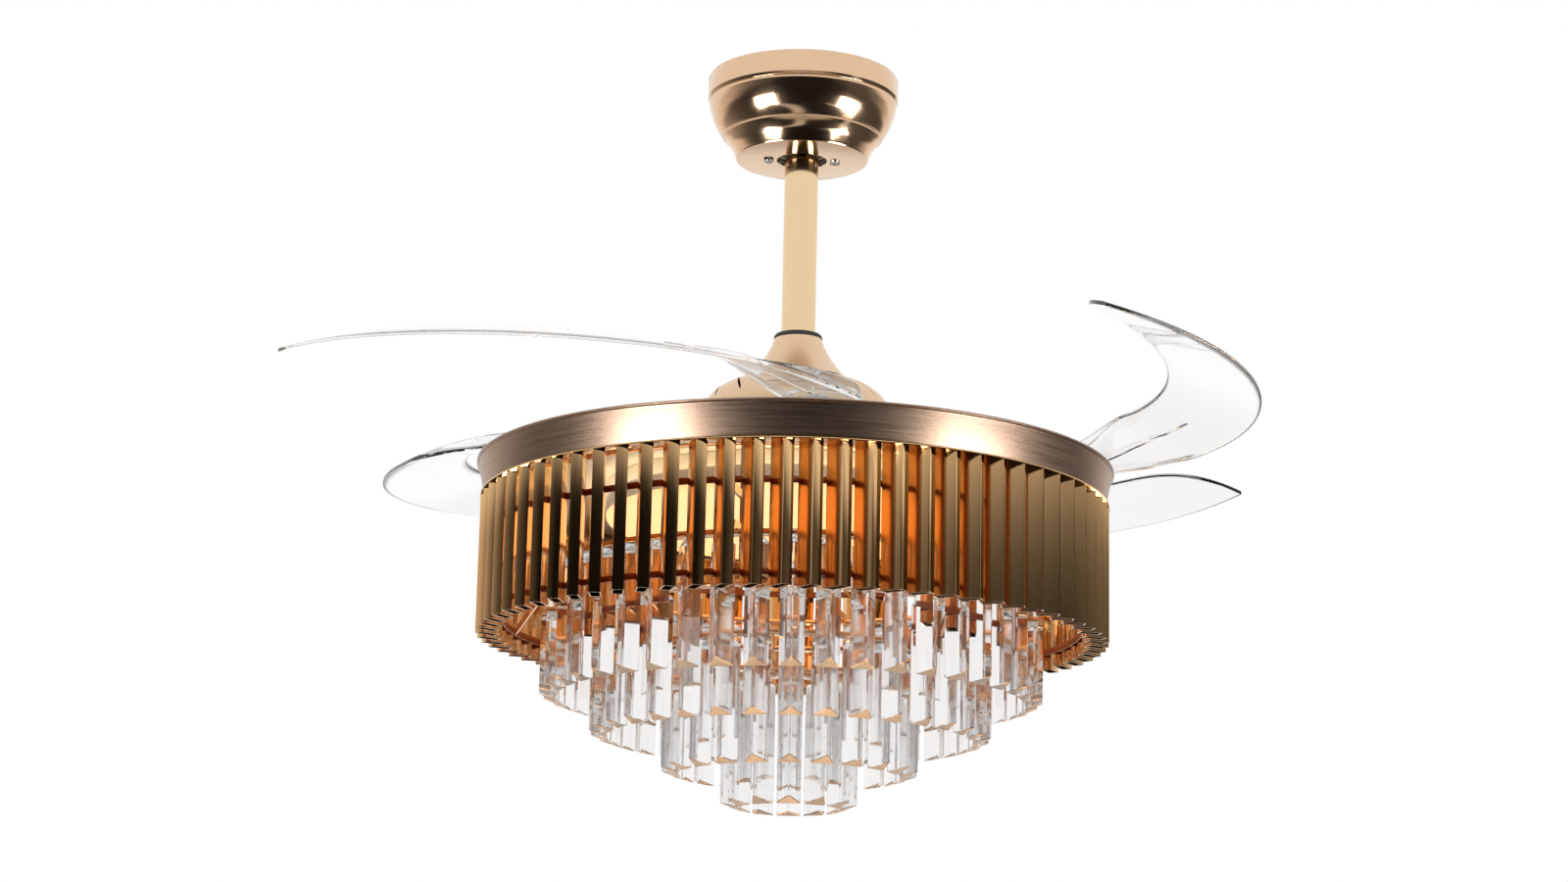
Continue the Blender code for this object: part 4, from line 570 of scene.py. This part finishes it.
# The mesh of one shape with others joined to it and others cut out of it.
def cutMesh(name, shape, tools, finish, sharp=35.0, additions=()):
    item = addObject(name, makeMesh(name, shape, finish, sharp))
    drafts = [item]
    for number, tool in enumerate([*additions, *tools]):
        toolName = f"{name}Tool{number}"
        other = addObject(toolName, makeMesh(toolName, tool, finish))
        change = item.modifiers.new(f"change{number}", "BOOLEAN")
        change.operation = "UNION" if number < len(additions) else "DIFFERENCE"
        change.solver = "EXACT"
        change.object = other
        drafts.append(other)
    bpy.context.view_layer.update()
    graph = bpy.context.evaluated_depsgraph_get()
    mesh = bpy.data.meshes.new_from_object(item.evaluated_get(graph))
    for draft in drafts:
        bpy.data.objects.remove(draft, do_unlink=True)
    mesh.shade_smooth()
    mesh.set_sharp_from_angle(angle=math.radians(sharp))
    return mesh


# Canopy, rod and bell

# Profile points are shares of the canopy's radius and of its height: from the top down outside,
# and from the floor up inside.
canopyLook = {
    "steps": 160, "sheet": 0.0013, "hole": 0.0205, "slotX": 0.027, "slotRun": 0.0062,
    "slotHalf": 0.0026, "roundRadius": 0.0042, "slotReach": 0.004, "slotSteps": 12, "sharp": 30.0,
    "band": ((0.985, 0.0), (1.0, 0.03), (1.0, 0.262)),
    "groove": ((1.0, 0.262), (0.984, 0.282), (0.974, 0.296), (0.984, 0.312),
               (0.985, 0.328)),
    "bulge": ((0.985, 0.328), (0.977, 0.370), (0.966, 0.420), (0.944, 0.500),
              (0.922, 0.560), (0.896, 0.620), (0.868, 0.670), (0.838, 0.718)),
    "ledge": ((0.838, 0.718), (0.815, 0.722), (0.813, 0.742)),
    "foot": ((0.813, 0.742), (0.788, 0.775), (0.762, 0.815), (0.744, 0.845),
             (0.730, 0.875), (0.714, 0.920), (0.699, 0.965), (0.693, 0.985)),
    "edge": ((0.693, 0.985), (0.688, 0.996), (0.677, 1.0)),
    "floor": 0.66, "inside": ((0.745, 0.20), (0.895, 0.48), (0.965, 1.0))}


# Canopy: its outer and inner lines as one (radius, height) outline turned about Z.
def buildCanopy(look):
    low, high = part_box("canopy")
    radius, height, sheet = high.x, high.z - low.z, look["sheet"]
    outer = np.concatenate([np.array(look["band"]), smoothLine(look["groove"], 5)[1:],
                            smoothLine(look["bulge"], 4)[1:], np.array(look["ledge"])[1:],
                            smoothLine(look["foot"], 4)[1:], np.array(look["edge"])[1:]])
    outer = np.stack([outer[:, 0] * radius, high.z - outer[:, 1] * height], -1)
    inner = [(look["hole"], low.z), (look["hole"], low.z + sheet),
             (radius * look["floor"], low.z + sheet)]
    inner += [(radius * across, low.z + height * up) for across, up in look["inside"]]
    shape = turnOutline(np.concatenate([outer, inner]), look["steps"])
    tools = [slotTool(look, side, low.z) for side in (-1, 1)]
    mesh = cutMesh("canopyShell", shape, tools, "polished_gold", look["sharp"])
    putPiece("canopyShell", mesh, "polished_gold", "canopy")


# Key-hole cutter: a narrow slot round the screw that opens into a round hole.
def slotTool(look, side, level):
    meet = math.asin(look["slotHalf"] / look["roundRadius"])
    a = np.linspace(-math.pi / 2 + meet, 3 * math.pi / 2 - meet, 2 * look["slotSteps"])
    b = np.linspace(math.pi, 2 * math.pi, look["slotSteps"])
    big = look["roundRadius"] * np.stack([np.cos(a), np.sin(a)], -1) + (0.0, look["slotRun"])
    small = look["slotHalf"] * np.stack([np.cos(b), np.sin(b)], -1)
    plan = np.concatenate([big, small]) * (1.0, side) + (side * look["slotX"], 0.0)
    return makePrism(plan, level - look["slotReach"], level + look["slotReach"])


# The middle of a box, seen from above.
def planMiddle(low, high):
    return (low.x + high.x) / 2, (low.y + high.y) / 2


# Widths are shares of the head's radius.
screwLook = {
    "steps": 32, "recess": 0.0009, "rise": 0.0022, "brim": 1.15, "crown": 0.08,
    "shank": 0.48, "crossLong": 0.62, "crossWide": 0.14, "domeSteps": 8}


# Pan-head screw pointing up: stepped rod with a domed head and a cross recess.
def buildCanopyScrews(look):
    for number in (1, 2):
        low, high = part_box(f"canopy_screw_{number}")
        centre = planMiddle(low, high)
        head, rise = (high.x - low.x) / 2, look["rise"]
        brim = low.z + rise * look["brim"]
        t = np.linspace(0, math.pi / 2, look["domeSteps"])
        dome = np.stack([head * np.sin(t), low.z + rise * (1 - np.cos(t))], -1)[1:]
        line = np.concatenate([[(head * look["crown"], low.z)], dome,
                               [(head, brim), (head * look["shank"], brim),
                                (head * look["shank"], high.z)]])
        run, width = head * look["crossLong"], head * look["crossWide"]
        bars = []
        for x, y in ((run, width), (width, run)):
            plan = np.array([(-x, -y), (x, -y), (x, y), (-x, y)]) + centre
            bars.append(makePrism(plan, low.z - rise, low.z + look["recess"]))
        name = f"canopyScrew{number}"
        mesh = cutMesh(name, turnSolid(line, look["steps"], centre), bars, "steel")
        putPiece(name, mesh, "steel", f"canopy_screw_{number}")


rodLook = {"steps": 96, "wall": 0.0015, "ease": 0.0004, "sharp": 8.0}


# Rod: a long tube with eased edges.
def buildRod(look):
    low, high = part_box("downrod")
    shape = turnRing(high.x - look["wall"], high.x, low.z, high.z, look["ease"], look["steps"])
    putPiece("rodTube", shape, "satin_gold", "downrod", sharp=look["sharp"])


bellLook = {
    "steps": 128, "rows": 40, "wall": 0.0016, "mouth": 0.0192, "waist": 0.0245, "grommetSteps": 96,
    "grommetGap": 0.0003, "grommetSlope": 0.0014, "grommetEase": 0.0005}


# Bell: radius (1-t)^2 mouth + 2t(1-t) waist + t^2 foot, height falling evenly with t.
def buildBell(look):
    low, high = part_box("bell_cover")
    t = np.linspace(0, 1, look["rows"])
    radius = (1 - t) ** 2 * look["mouth"] + 2 * t * (1 - t) * look["waist"] + t ** 2 * high.x
    height = high.z - (high.z - low.z) * t
    outer = np.stack([radius, height], -1)
    inner = np.stack([radius - look["wall"], height], -1)[::-1]
    shape = turnOutline(np.concatenate([outer, inner]), look["steps"])
    putPiece("bellShell", shape, "champagne", "bell_cover")
    low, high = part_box("bell_grommet")
    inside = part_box("downrod")[1].x + look["grommetGap"]
    loop = [(inside, low.z), (high.x, low.z), (high.x, (low.z + high.z) / 2),
            (high.x - look["grommetSlope"], high.z), (inside, high.z)]
    shape = turnOutline(roundCorners(loop, look["grommetEase"]), look["grommetSteps"])
    putPiece("rodGrommet", shape, "black_rubber", "bell_grommet")


# Motor

motorLook = {
    "steps": 160, "rows": 40, "sheet": 0.0025, "crown": 0.038, "drop": 0.032, "bore": 0.0153,
    "lip": 0.010, "shoulder": (0.838, 0.005), "sharp": 30.0, "gap": 0.0003,
    "ease": 0.001, "vents": 15, "ventFirst": -62.0, "ventRadius": 0.0665,
    "ventHalf": 0.0075, "ventWidth": 0.0014, "ventTwist": 0.12, "ventLift": 0.003,
    "ventSteps": 13}


# Upper shell: a cubic from the crown to the wall,
# (1-t)^3 A + 3t(1-t)^2 B + 3t^2(1-t) C + t^3 D. The vents are cut through its shoulder.
def buildMotor(look):
    low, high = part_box("rotor_shell_upper")
    wall, top, bore, sheet = high.x, high.z, look["bore"], look["sheet"]
    shoulder, fall = look["shoulder"]
    a, b = np.array((look["crown"], top)), np.array((wall * shoulder, top - fall))
    c, d = np.array((wall, top - look["drop"] / 2)), np.array((wall, top - look["drop"]))
    t = np.linspace(0, 1, look["rows"])[:, None]
    outer = (1 - t) ** 3 * a + 3 * t * (1 - t) ** 2 * b + 3 * t ** 2 * (1 - t) * c + t ** 3 * d
    inner = outer[::-1] - np.stack([sheet * t[::-1, 0], sheet * (1 - t[::-1, 0])], -1)
    loop = np.concatenate([[(bore, top - look["lip"]), (bore, top)], outer,
                           [(wall, low.z), (wall - sheet, low.z)], inner,
                           [(bore + sheet, top - sheet), (bore + sheet, top - look["lip"])]])
    tools = [ventTool(look, angle, top) for angle in evenTurns(look["vents"], look["ventFirst"])]
    shape = turnOutline(loop, look["steps"])
    mesh = cutMesh("motorDome", shape, tools, "champagne", look["sharp"])
    putPiece("motorDome", mesh, "champagne", "rotor_shell_upper")
    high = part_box("rotor_shell_lower")[1]
    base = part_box("blade_tray")[1].z + look["gap"]
    loop = [(bore, base), (wall, base), (wall, high.z), (wall - sheet, high.z),
            (wall - sheet, base + sheet), (bore, base + sheet)]
    shape = turnOutline(roundCorners(loop, look["ease"]), look["steps"])
    putPiece("motorPot", shape, "champagne", "rotor_shell_lower")


# Vent cutter: a slot that runs outwards as its bearing turns, its half width following
# sqrt(1 - u^4) for u from -1 to 1 along it.
def ventTool(look, angle, top):
    u = np.linspace(-1, 1, look["ventSteps"])
    bend = angle + look["ventTwist"] * u
    run = look["ventRadius"] + look["ventHalf"] * u
    half = look["ventWidth"] * np.sqrt(np.clip(1.02 - u ** 4, 0, 1))  # 1.02 leaves the ends blunt
    middle = np.stack([run * np.cos(bend), run * np.sin(bend)], -1)
    sideways = np.stack([-np.sin(bend), np.cos(bend)], -1) * half[:, None]
    plan = np.concatenate([middle + sideways, (middle - sideways)[::-1]])
    return makePrism(plan, top - look["drop"], top + look["ventLift"])


boltLook = {
    "steps": 40, "shank": 0.0030, "foot": 0.005, "footHeight": 0.0016, "head": 0.0068,
    "headHeight": 0.0036, "dome": 0.0012, "socket": 0.0028, "socketDepth": 0.0022,
    "over": 0.001, "domeSteps": 7}


# Pivot bolts: domed socket-head bolts on the blades' pivots.
def buildBolts(look):
    for number in (1, 2, 3, 4):
        low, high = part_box(f"pivot_bolt_{number}")
        centre = planMiddle(low, high)
        head, shank, dome = look["head"], look["shank"], look["dome"]
        seat, footTop = high.z - look["headHeight"], low.z + look["footHeight"]
        t = np.linspace(0, math.pi / 2, look["domeSteps"])
        crown = np.stack([head - dome * (1 - np.cos(t)), high.z - dome * (1 - np.sin(t))], -1)
        line = np.concatenate([[(look["foot"], low.z), (look["foot"], footTop), (shank, footTop),
                                (shank, seat), (head, seat)], crown])
        a = np.arange(6) * math.pi / 3  # the six corners of the socket
        plan = look["socket"] * np.stack([np.cos(a), np.sin(a)], -1) + centre
        tool = makePrism(plan, high.z - look["socketDepth"], high.z + look["over"])
        name = f"pivotBolt{number}"
        mesh = cutMesh(name, turnSolid(line, look["steps"], centre), [tool], "steel")
        putPiece(name, mesh, "steel", f"pivot_bolt_{number}")


# Blades

bladeLook = {
    "along": 140, "around": 72, "sheet": 0.003, "inset": 0.0028, "halfWidth": 0.0348,
    "tip": 121.5, "heel": 9.5, "rootHalf": 0.027, "rootShift": 0.004, "rootAngle": 31.0,
    "rise": 0.0285, "slope": 18.7, "slopeFrom": 0.0, "slopeTo": 0.24, "taper": 14.0,
    "fold": 53.8, "pivot": 0.210, "turn": 4.4, "gap": 0.0003, "sharp": 50.0,
    "flange": 0.0085, "flangeWidth": 0.075, "flangeFrom": 4.0, "flangeRun": 30.0,
    "flangeBack": 6.0, "collar": 0.0268, "collarWall": 0.0022, "collarTop": 0.0040,
    "collarEase": 0.0006, "ribSteps": 40, "ribFrom": 4.0, "ribTo": 40.0,
    "ribHalf": 0.0011, "ribTall": 0.0065, "ribFoot": 0.0002, "bolt": 0.0033,
    "peg": 0.0023, "pegArm": 0.0125, "holeReach": 0.01, "holeSteps": 32, "collarSteps": 96,
    "power": 8}


# Blade: folded, it is a crescent about the fan's axis, with angle v from heel to tip. Half width
# w(v) = halfWidth sqrt(1 - run^taper), middle radius = outer - w, and the height rises with run^2
# and slopes inwards. Near the root it passes into a round end about the pivot.
def bladeLine(look, angle, outerRadius):
    heel, tip = math.radians(look["heel"]), math.radians(look["tip"])
    run = np.clip(-angle / tip, 0, 1)
    root = smoothStep(1 + angle / math.radians(look["rootAngle"]))
    half = look["halfWidth"] * np.sqrt(np.clip(1 - run ** look["taper"], 0, 1))
    middle = outerRadius - half
    back = np.where(angle > 0, np.sqrt(np.clip(1 - (angle / heel) ** 2, 0, 1)), 1.0)
    half = (half * (1 - root) + look["rootHalf"] * root) * back
    middle = middle * (1 - root) + (look["pivot"] + look["rootShift"]) * root
    slope = math.tan(math.radians(look["slope"])) * smoothStep(
        (run - look["slopeFrom"]) / (look["slopeTo"] - look["slopeFrom"]))
    return run, np.maximum(half, half.min() + look["sheet"] / 2), middle, slope


# Across, the section is |s|^power + |h|^power = 1 with s = cos q. Flanges stand up from its upper
# side by flange * exp(-((1 - |s|) / flangeWidth)^2) near the root.
def bladeShape(look, outerRadius, level):
    u = 0.5 - 0.5 * np.cos(math.pi * np.linspace(0, 1, look["along"]))
    heel, tip = math.radians(look["heel"]), math.radians(look["tip"])
    angle = (heel - (heel + tip) * u)[:, None]
    run, half, middle, slope = bladeLine(look, angle, outerRadius)
    q = np.linspace(0, 2 * math.pi, look["around"], endpoint=False)[None, :]
    s = np.cos(q)
    power = look["power"]
    h = np.sign(np.sin(q)) * np.clip(1 - np.abs(s) ** power, 0, 1) ** (1 / power)
    degrees = np.degrees(angle)
    fade = 1 - smoothStep((-degrees - look["flangeFrom"]) / look["flangeRun"])
    fade = fade * smoothStep((look["flangeBack"] - degrees) / look["flangeBack"])
    rim = look["flange"] * np.exp(-((1 - np.abs(s)) / look["flangeWidth"]) ** 2) * fade
    height = (level + look["rise"] * run ** 2 + slope * (half - half * s)
              + h * look["sheet"] / 2 + np.where(h > 0, rim * np.clip(h * 4, 0, 1), 0.0))
    return stackLoops(openedLoops(look, angle, middle + half * s, height))


# Rib: a thin upright wall along the blade's middle line, its height falling smoothly to nothing.
def ribShape(look, outerRadius, level):
    steps = look["ribSteps"]
    angle = -np.radians(np.linspace(look["ribFrom"], look["ribTo"], steps))[:, None]
    run, half, middle, slope = bladeLine(look, angle, outerRadius)
    tall = look["ribTall"] * (1 - smoothStep(np.linspace(0, 1, steps))[:, None])
    side, up = np.array([(-1, 0), (1, 0), (1, 1), (-1, 1)], float).T
    height = (level + look["rise"] * run ** 2 + slope * half
              + up * (look["sheet"] / 2 + look["ribFoot"] + tall))
    return stackLoops(openedLoops(look, angle, middle + look["ribHalf"] * side, height))


# Points at (radius, angle, height) about the fan's axis, turned by the fold angle about the
# blade's pivot, which opens the folded blade.
def openedLoops(look, angle, radius, height):
    a = math.radians(look["fold"])
    x, y = radius * np.cos(angle) - look["pivot"], radius * np.sin(angle)
    return np.stack([look["pivot"] + x * math.cos(a) - y * math.sin(a),
                     x * math.sin(a) + y * math.cos(a), height + 0 * radius], -1)


# Each blade: its sheet, the low collar round the pivot and the rib that runs out from it in one,
# with a bolt hole and two peg holes.
def buildBlades(look, bolt, ring):
    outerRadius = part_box("trim_ring")[1].x - ring["bead"] - look["inset"]
    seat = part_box("pivot_bolt_1")[1].z - bolt["headHeight"]
    level = seat - look["gap"] - look["sheet"] / 2
    pivot, cup, arm = look["pivot"], look["collar"], look["pegArm"]
    collar = turnRing(cup - look["collarWall"], cup, level, level + look["collarTop"],
                      look["collarEase"], look["collarSteps"], (pivot, 0.0))
    holes = [turnSolid([(size, level - look["holeReach"]), (size, level + look["holeReach"])],
                       look["holeSteps"], (pivot, y))
             for size, y in ((look["bolt"], 0.0), (look["peg"], arm), (look["peg"], -arm))]
    mesh = cutMesh("bladeSheet", bladeShape(look, outerRadius, level), holes, "clear_acrylic",
                   look["sharp"], [collar, ribShape(look, outerRadius, level)])
    for number, angle in enumerate(evenTurns(4, look["turn"]), 1):
        turned = mesh.copy()
        turned.transform(Matrix.Rotation(angle, 4, "Z"))
        putPiece(f"bladeSheet{number}", turned, "clear_acrylic", f"blade_{number}")


# Ring and shade

ringLook = {
    "steps": 256, "sheet": 0.0012, "bead": 0.0016, "slope": 1.5, "flare": 0.0052,
    "ease": 0.0004}


# Trim ring: a thin cone with a small square bead round its upper edge.
def buildRing(look):
    low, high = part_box("trim_ring")
    bead, sheet = look["bead"], look["sheet"]
    top = high.x - bead
    bottom = top - look["flare"]
    loop = [(bottom, low.z), (top, high.z - bead * look["slope"]), (high.x, high.z - bead),
            (high.x, high.z), (top - sheet, high.z), (bottom - sheet, low.z)]
    shape = turnOutline(roundCorners(loop, look["ease"]), look["steps"])
    putPiece("brushedRing", shape, "brushed_gold", "trim_ring")


panLook = {"steps": 256, "bore": 0.0093, "ease": 0.0004}


# Light pan: a flat disc with a hole for the shaft.
def buildPan(look):
    low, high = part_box("light_pan")
    shape = turnRing(look["bore"], high.x, low.z, high.z, look["ease"], look["steps"])
    putPiece("ringPan", shape, "white_metal", "light_pan")


shadeLook = {
    "count": 72, "width": 0.009, "depth": 0.018, "sheet": 0.0009, "slant": 36.0,
    "first": -91.9, "corner": 0.0006, "cornerLoss": 0.3, "least": 0.0002, "inset": 0.0005,
    "lip": 0.00025, "lipShare": 0.6, "under": 0.0006, "flange": 0.2268, "flangeSheet": 0.0012,
    "flangeEase": 0.0003, "flangeSteps": 216, "sharp": 30.0}


# Strip: plan corners C, C+w, C+w+d, C+d with C on the outer circle, d = depth (-cos k out - sin k
# side) and w = width (-sin k out + cos k side); the tube is that loop and one inside it. The two
# broad faces of each strip are marked.
def buildShade(look):
    low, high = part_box("fluted_shade")
    k = math.radians(look["slant"])
    start = np.array((high.x - look["inset"], 0.0))
    deep = np.array((-math.cos(k), -math.sin(k)))
    wide = np.array((-math.sin(k), math.cos(k)))

    def plan(inset):
        depth, width = look["depth"] - 2 * inset, look["width"] - 2 * inset
        c = start + inset * (deep + wide)
        loop = [c, c + width * wide, c + width * wide + depth * deep, c + depth * deep]
        return roundCorners(loop, max(look["corner"] - inset * look["cornerLoss"], look["least"]), 3)

    sheet, lip, top = look["sheet"], look["lip"], high.z - look["under"]
    ease = lip * look["lipShare"]
    rows = [(ease, low.z), (0.0, low.z + lip), (0.0, top), (sheet, top), (sheet, low.z + lip),
            (sheet - ease, low.z)]
    loops = np.stack([loopAt(plan(inset), z) for inset, z in rows])
    across = loops.shape[1]
    strip = (loops.reshape(-1, 3), [gridQuads(len(rows), across, True, True)])
    strips = turnCopies(strip, evenTurns(look["count"], look["first"]))
    flange = turnRing(look["flange"], high.x, high.z - look["flangeSheet"], high.z,
                      look["flangeEase"], look["flangeSteps"])
    shape = together(strips, flange)
    marks = np.zeros(sum(len(f) for f in shape[1]))
    column = np.arange(len(strips[1][0])) % across
    marks[:len(column)] = (column == 5) | (column == 11)  # the columns of the two broad faces
    mesh = makeMesh("flutedStrips", shape, "strip_gold", look["sharp"], marks)
    putPiece("flutedStrips", mesh, "strip_gold", "fluted_shade")


# Crystal frame and crystals

frameLook = {
    "arms": 4, "first": -13.0, "sheet": 0.003, "bar": 0.006, "spine": 0.172,
    "ease": 0.0008, "gap": 0.0003, "hoopTop": (0.0530, 0.1215), "hoopInner": 0.2279,
    "hoopHeight": 0.005, "hoopWidth": 0.002, "hoopSteps": 180, "ringEase": 0.0004,
    "hubSteps": 96}
tierLook = {
    "shares": (0.796, 0.634, 0.408, 0.218), "drops": (0.186, 0.216, 0.2437, 0.269),
    "counts": (44, 34, 22, 12), "shade": 0.250, "length": 0.097, "width": 0.020,
    "depth": 0.015, "cut": 0.0045, "shoulder": 0.006, "shoulderRise": 0.0008,
    "neck": 0.25, "neckRise": 0.0012, "bevel": 0.0006, "cornerCut": 1.6, "ease": 0.93,
    "sharp": 12.0, "ringWidth": 0.012, "ringHeight": 0.004, "ringEase": 0.0005,
    "ringSteps": 44}


# Frame: four stepped arms cut from sheet, slanted stays out to the lower hoop, two hoops and a
# hub. An arm's outline runs down its outer side, in along the steps and up its inner side.
def buildFrame(look, tiers):
    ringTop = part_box("trim_ring")[1].z
    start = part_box("crystal_frame")[1].z
    half, bar = look["bar"] / 2, look["bar"]
    near = look["spine"] + half
    radii = [tiers["shade"] * share for share in tiers["shares"]]
    middle = [r - tiers["depth"] * 2 / 3 for r in radii]
    rise = tiers["length"] + tiers["ringHeight"] + look["gap"]
    tops = [ringTop - drop + rise for drop in tiers["drops"]]
    hang = look["hoopInner"] + look["hoopWidth"] / 2
    upper, lower = (ringTop - drop - look["hoopHeight"] / 2 for drop in look["hoopTop"])
    reach = middle[0] + tiers["ringWidth"] / 2 + half
    last = middle[3] - tiers["ringWidth"] / 2
    second, third = (middle[1] + middle[2]) / 2, (middle[2] + middle[3]) / 2
    down = [(near, start), (near, upper + half), (hang, upper + half), (hang, upper - half),
            (near, upper - half), (near, tops[0] + bar), (reach, tops[0] + bar),
            (hang, lower + half), (hang, lower - half), (reach, tops[0]), (near, tops[0])]
    steps = [(near, tops[1]), (second + half, tops[1]), (second + half, tops[2]),
             (third + half, tops[2]), (third + half, tops[3]), (last, tops[3])]
    up = [(last, tops[3] + bar), (third - half, tops[3] + bar), (third - half, tops[2] + bar),
          (second - half, tops[2] + bar), (second - half, tops[1] + bar),
          (near - bar, tops[1] + bar), (near - bar, start)]
    x, z = roundCorners(down + steps + up, look["ease"], 3).T
    arm = stackLoops([np.stack([x, side + 0 * x, z], -1)
                      for side in (-look["sheet"] / 2, look["sheet"] / 2)])
    arms = turnCopies(arm, evenTurns(look["arms"], look["first"]))
    hub = turnRing(middle[3] - tiers["ringWidth"], middle[3], tops[3], tops[3] + look["sheet"],
                   look["ringEase"], look["hubSteps"])
    hoops = [turnRing(look["hoopInner"], look["hoopInner"] + look["hoopWidth"],
                      ringTop - drop - look["hoopHeight"], ringTop - drop, look["ringEase"],
                      look["hoopSteps"]) for drop in look["hoopTop"]]
    putPiece("crystalFrame", together(arms, hub), "polished_gold", "crystal_frame")
    # The hoops' dark copper colour is partly painted shade: they sit in shade between the strips.
    putPiece("stripHoops", together(*hoops), "dark_copper", "crystal_frame", replaced=False)


# Crystal: a triangular prism, edge outwards. Its plan loop has cut corners; the foot rises towards
# the outer edge as bottom + cut * (r - base) / depth, and the shoulder narrows to a small neck.
def buildCrystals(look):
    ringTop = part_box("trim_ring")[1].z
    tiers = zip(look["shares"], look["drops"], look["counts"])
    for number, (share, drop, count) in enumerate(tiers, 1):
        radius = look["shade"] * share
        top = ringTop - drop + look["length"]
        bottom = top - look["length"]
        base, mid = radius - look["depth"], radius - look["depth"] * 2 / 3  # mid: the centroid
        half, cut, shoulder = look["width"] / 2, look["cut"], top - look["shoulder"]
        plan = roundCorners([(radius, 0.0), (base, half), (base, -half)],
                            look["bevel"] * look["cornerCut"], 2)
        centre = np.array((mid, 0.0))
        loops = []
        for size, z, slant in ((look["ease"], bottom, cut), (1.0, bottom + look["bevel"], cut),
                               (1.0, shoulder, 0.0),
                               (look["ease"], shoulder + look["shoulderRise"], 0.0),
                               (look["neck"], top + look["neckRise"], 0.0)):
            spots = centre + (plan - centre) * size
            loops.append(loopAt(spots, z + slant * (spots[:, 0] - base) / look["depth"]))
        crystals = turnCopies(stackLoops(loops), evenTurns(count, -90.0))
        marks = np.concatenate([np.zeros(len(crystals[1][0])), np.tile((1.0, 0.0), count)])
        mesh = makeMesh(f"crystalTier{number}", crystals, "crystal", look["sharp"], marks)
        putPiece(f"crystalTier{number}", mesh, "crystal", f"crystal_tier_{number}")
        inner, outer = mid - look["ringWidth"] / 2, mid + look["ringWidth"] / 2
        shape = turnRing(inner, outer, top, top + look["ringHeight"], look["ringEase"],
                         look["ringSteps"] * (len(look["shares"]) + 1 - number))
        putPiece(f"tierRing{number}", shape, "polished_gold", f"crystal_tier_{number}",
                 replaced=False)


# Lamp

lensLook = {
    "steps": 128, "sheet": 0.002, "wallShare": 0.985,
    "dome": ((1.0, 0.0), (0.992, 0.30), (0.95, 0.52), (0.80, 0.74), (0.62, 0.88),
             (0.30, 0.97), (0.01, 1.0))}
housingLook = {"steps": 128, "bore": 0.0093, "wall": 0.0012, "ease": 0.0005}


# Opal lens: a shallow dome, given as height shares at radius shares and turned about Z.
def buildLens(look):
    low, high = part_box("led_diffuser")
    shares = smoothLine(look["dome"], 5)
    outer = np.stack([high.x * shares[:, 0], high.z - (high.z - low.z) * shares[:, 1]], -1)
    inner = outer[::-1] * (look["wallShare"], 1.0) + (0.0, look["sheet"])
    inner[:, 1] = np.minimum(inner[:, 1], high.z)
    shape = turnOutline(np.concatenate([outer, inner]), look["steps"])
    putPiece("opalLens", shape, "opal", "led_diffuser")


# Lamp housing: a shallow pan, open below, with a hole for the shaft.
def buildHousing(look):
    low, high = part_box("led_housing")
    bore, wall = look["bore"], look["wall"]
    loop = [(bore, high.z), (high.x, high.z), (high.x, low.z), (high.x - wall, low.z),
            (high.x - wall, high.z - wall), (bore, high.z - wall)]
    shape = turnOutline(roundCorners(loop, look["ease"]), look["steps"])
    putPiece("lampHousing", shape, "white_metal", "led_housing")


# Everything together

scene = bpy.context.scene
scene.view_settings.view_transform = "Standard"
scene.cycles.max_bounces = 24
scene.cycles.glossy_bounces = 12
scene.cycles.transmission_bounces = 24
addCamera(cameraView)
addWorld(worldLight)
addSoftboxes(softboxes)
addLampLight(lampLight)
addFloor(floorLook)
addCeilingPatch(ceilingPatch)
addDarkSide(darkSide)
print("camera, light and stage are in place")

materials = {name: makeFinish(name, look) for name, look in finishes.items()}
for item in nodes.values():
    for place in item.material_slots:
        name = place.material.name.split(".")[0]
        if name in materials:
            place.material = materials[name]
print("finishes made:", len(materials))

buildCanopy(canopyLook)
buildCanopyScrews(screwLook)
buildRod(rodLook)
buildBell(bellLook)
buildMotor(motorLook)
buildBolts(boltLook)
print("canopy, rod and motor built")
buildBlades(bladeLook, boltLook, ringLook)
print("blades built")
buildRing(ringLook)
buildPan(panLook)
buildShade(shadeLook)
buildFrame(frameLook, tierLook)
buildCrystals(tierLook)
buildLens(lensLook)
buildHousing(housingLook)
print("light kit built")
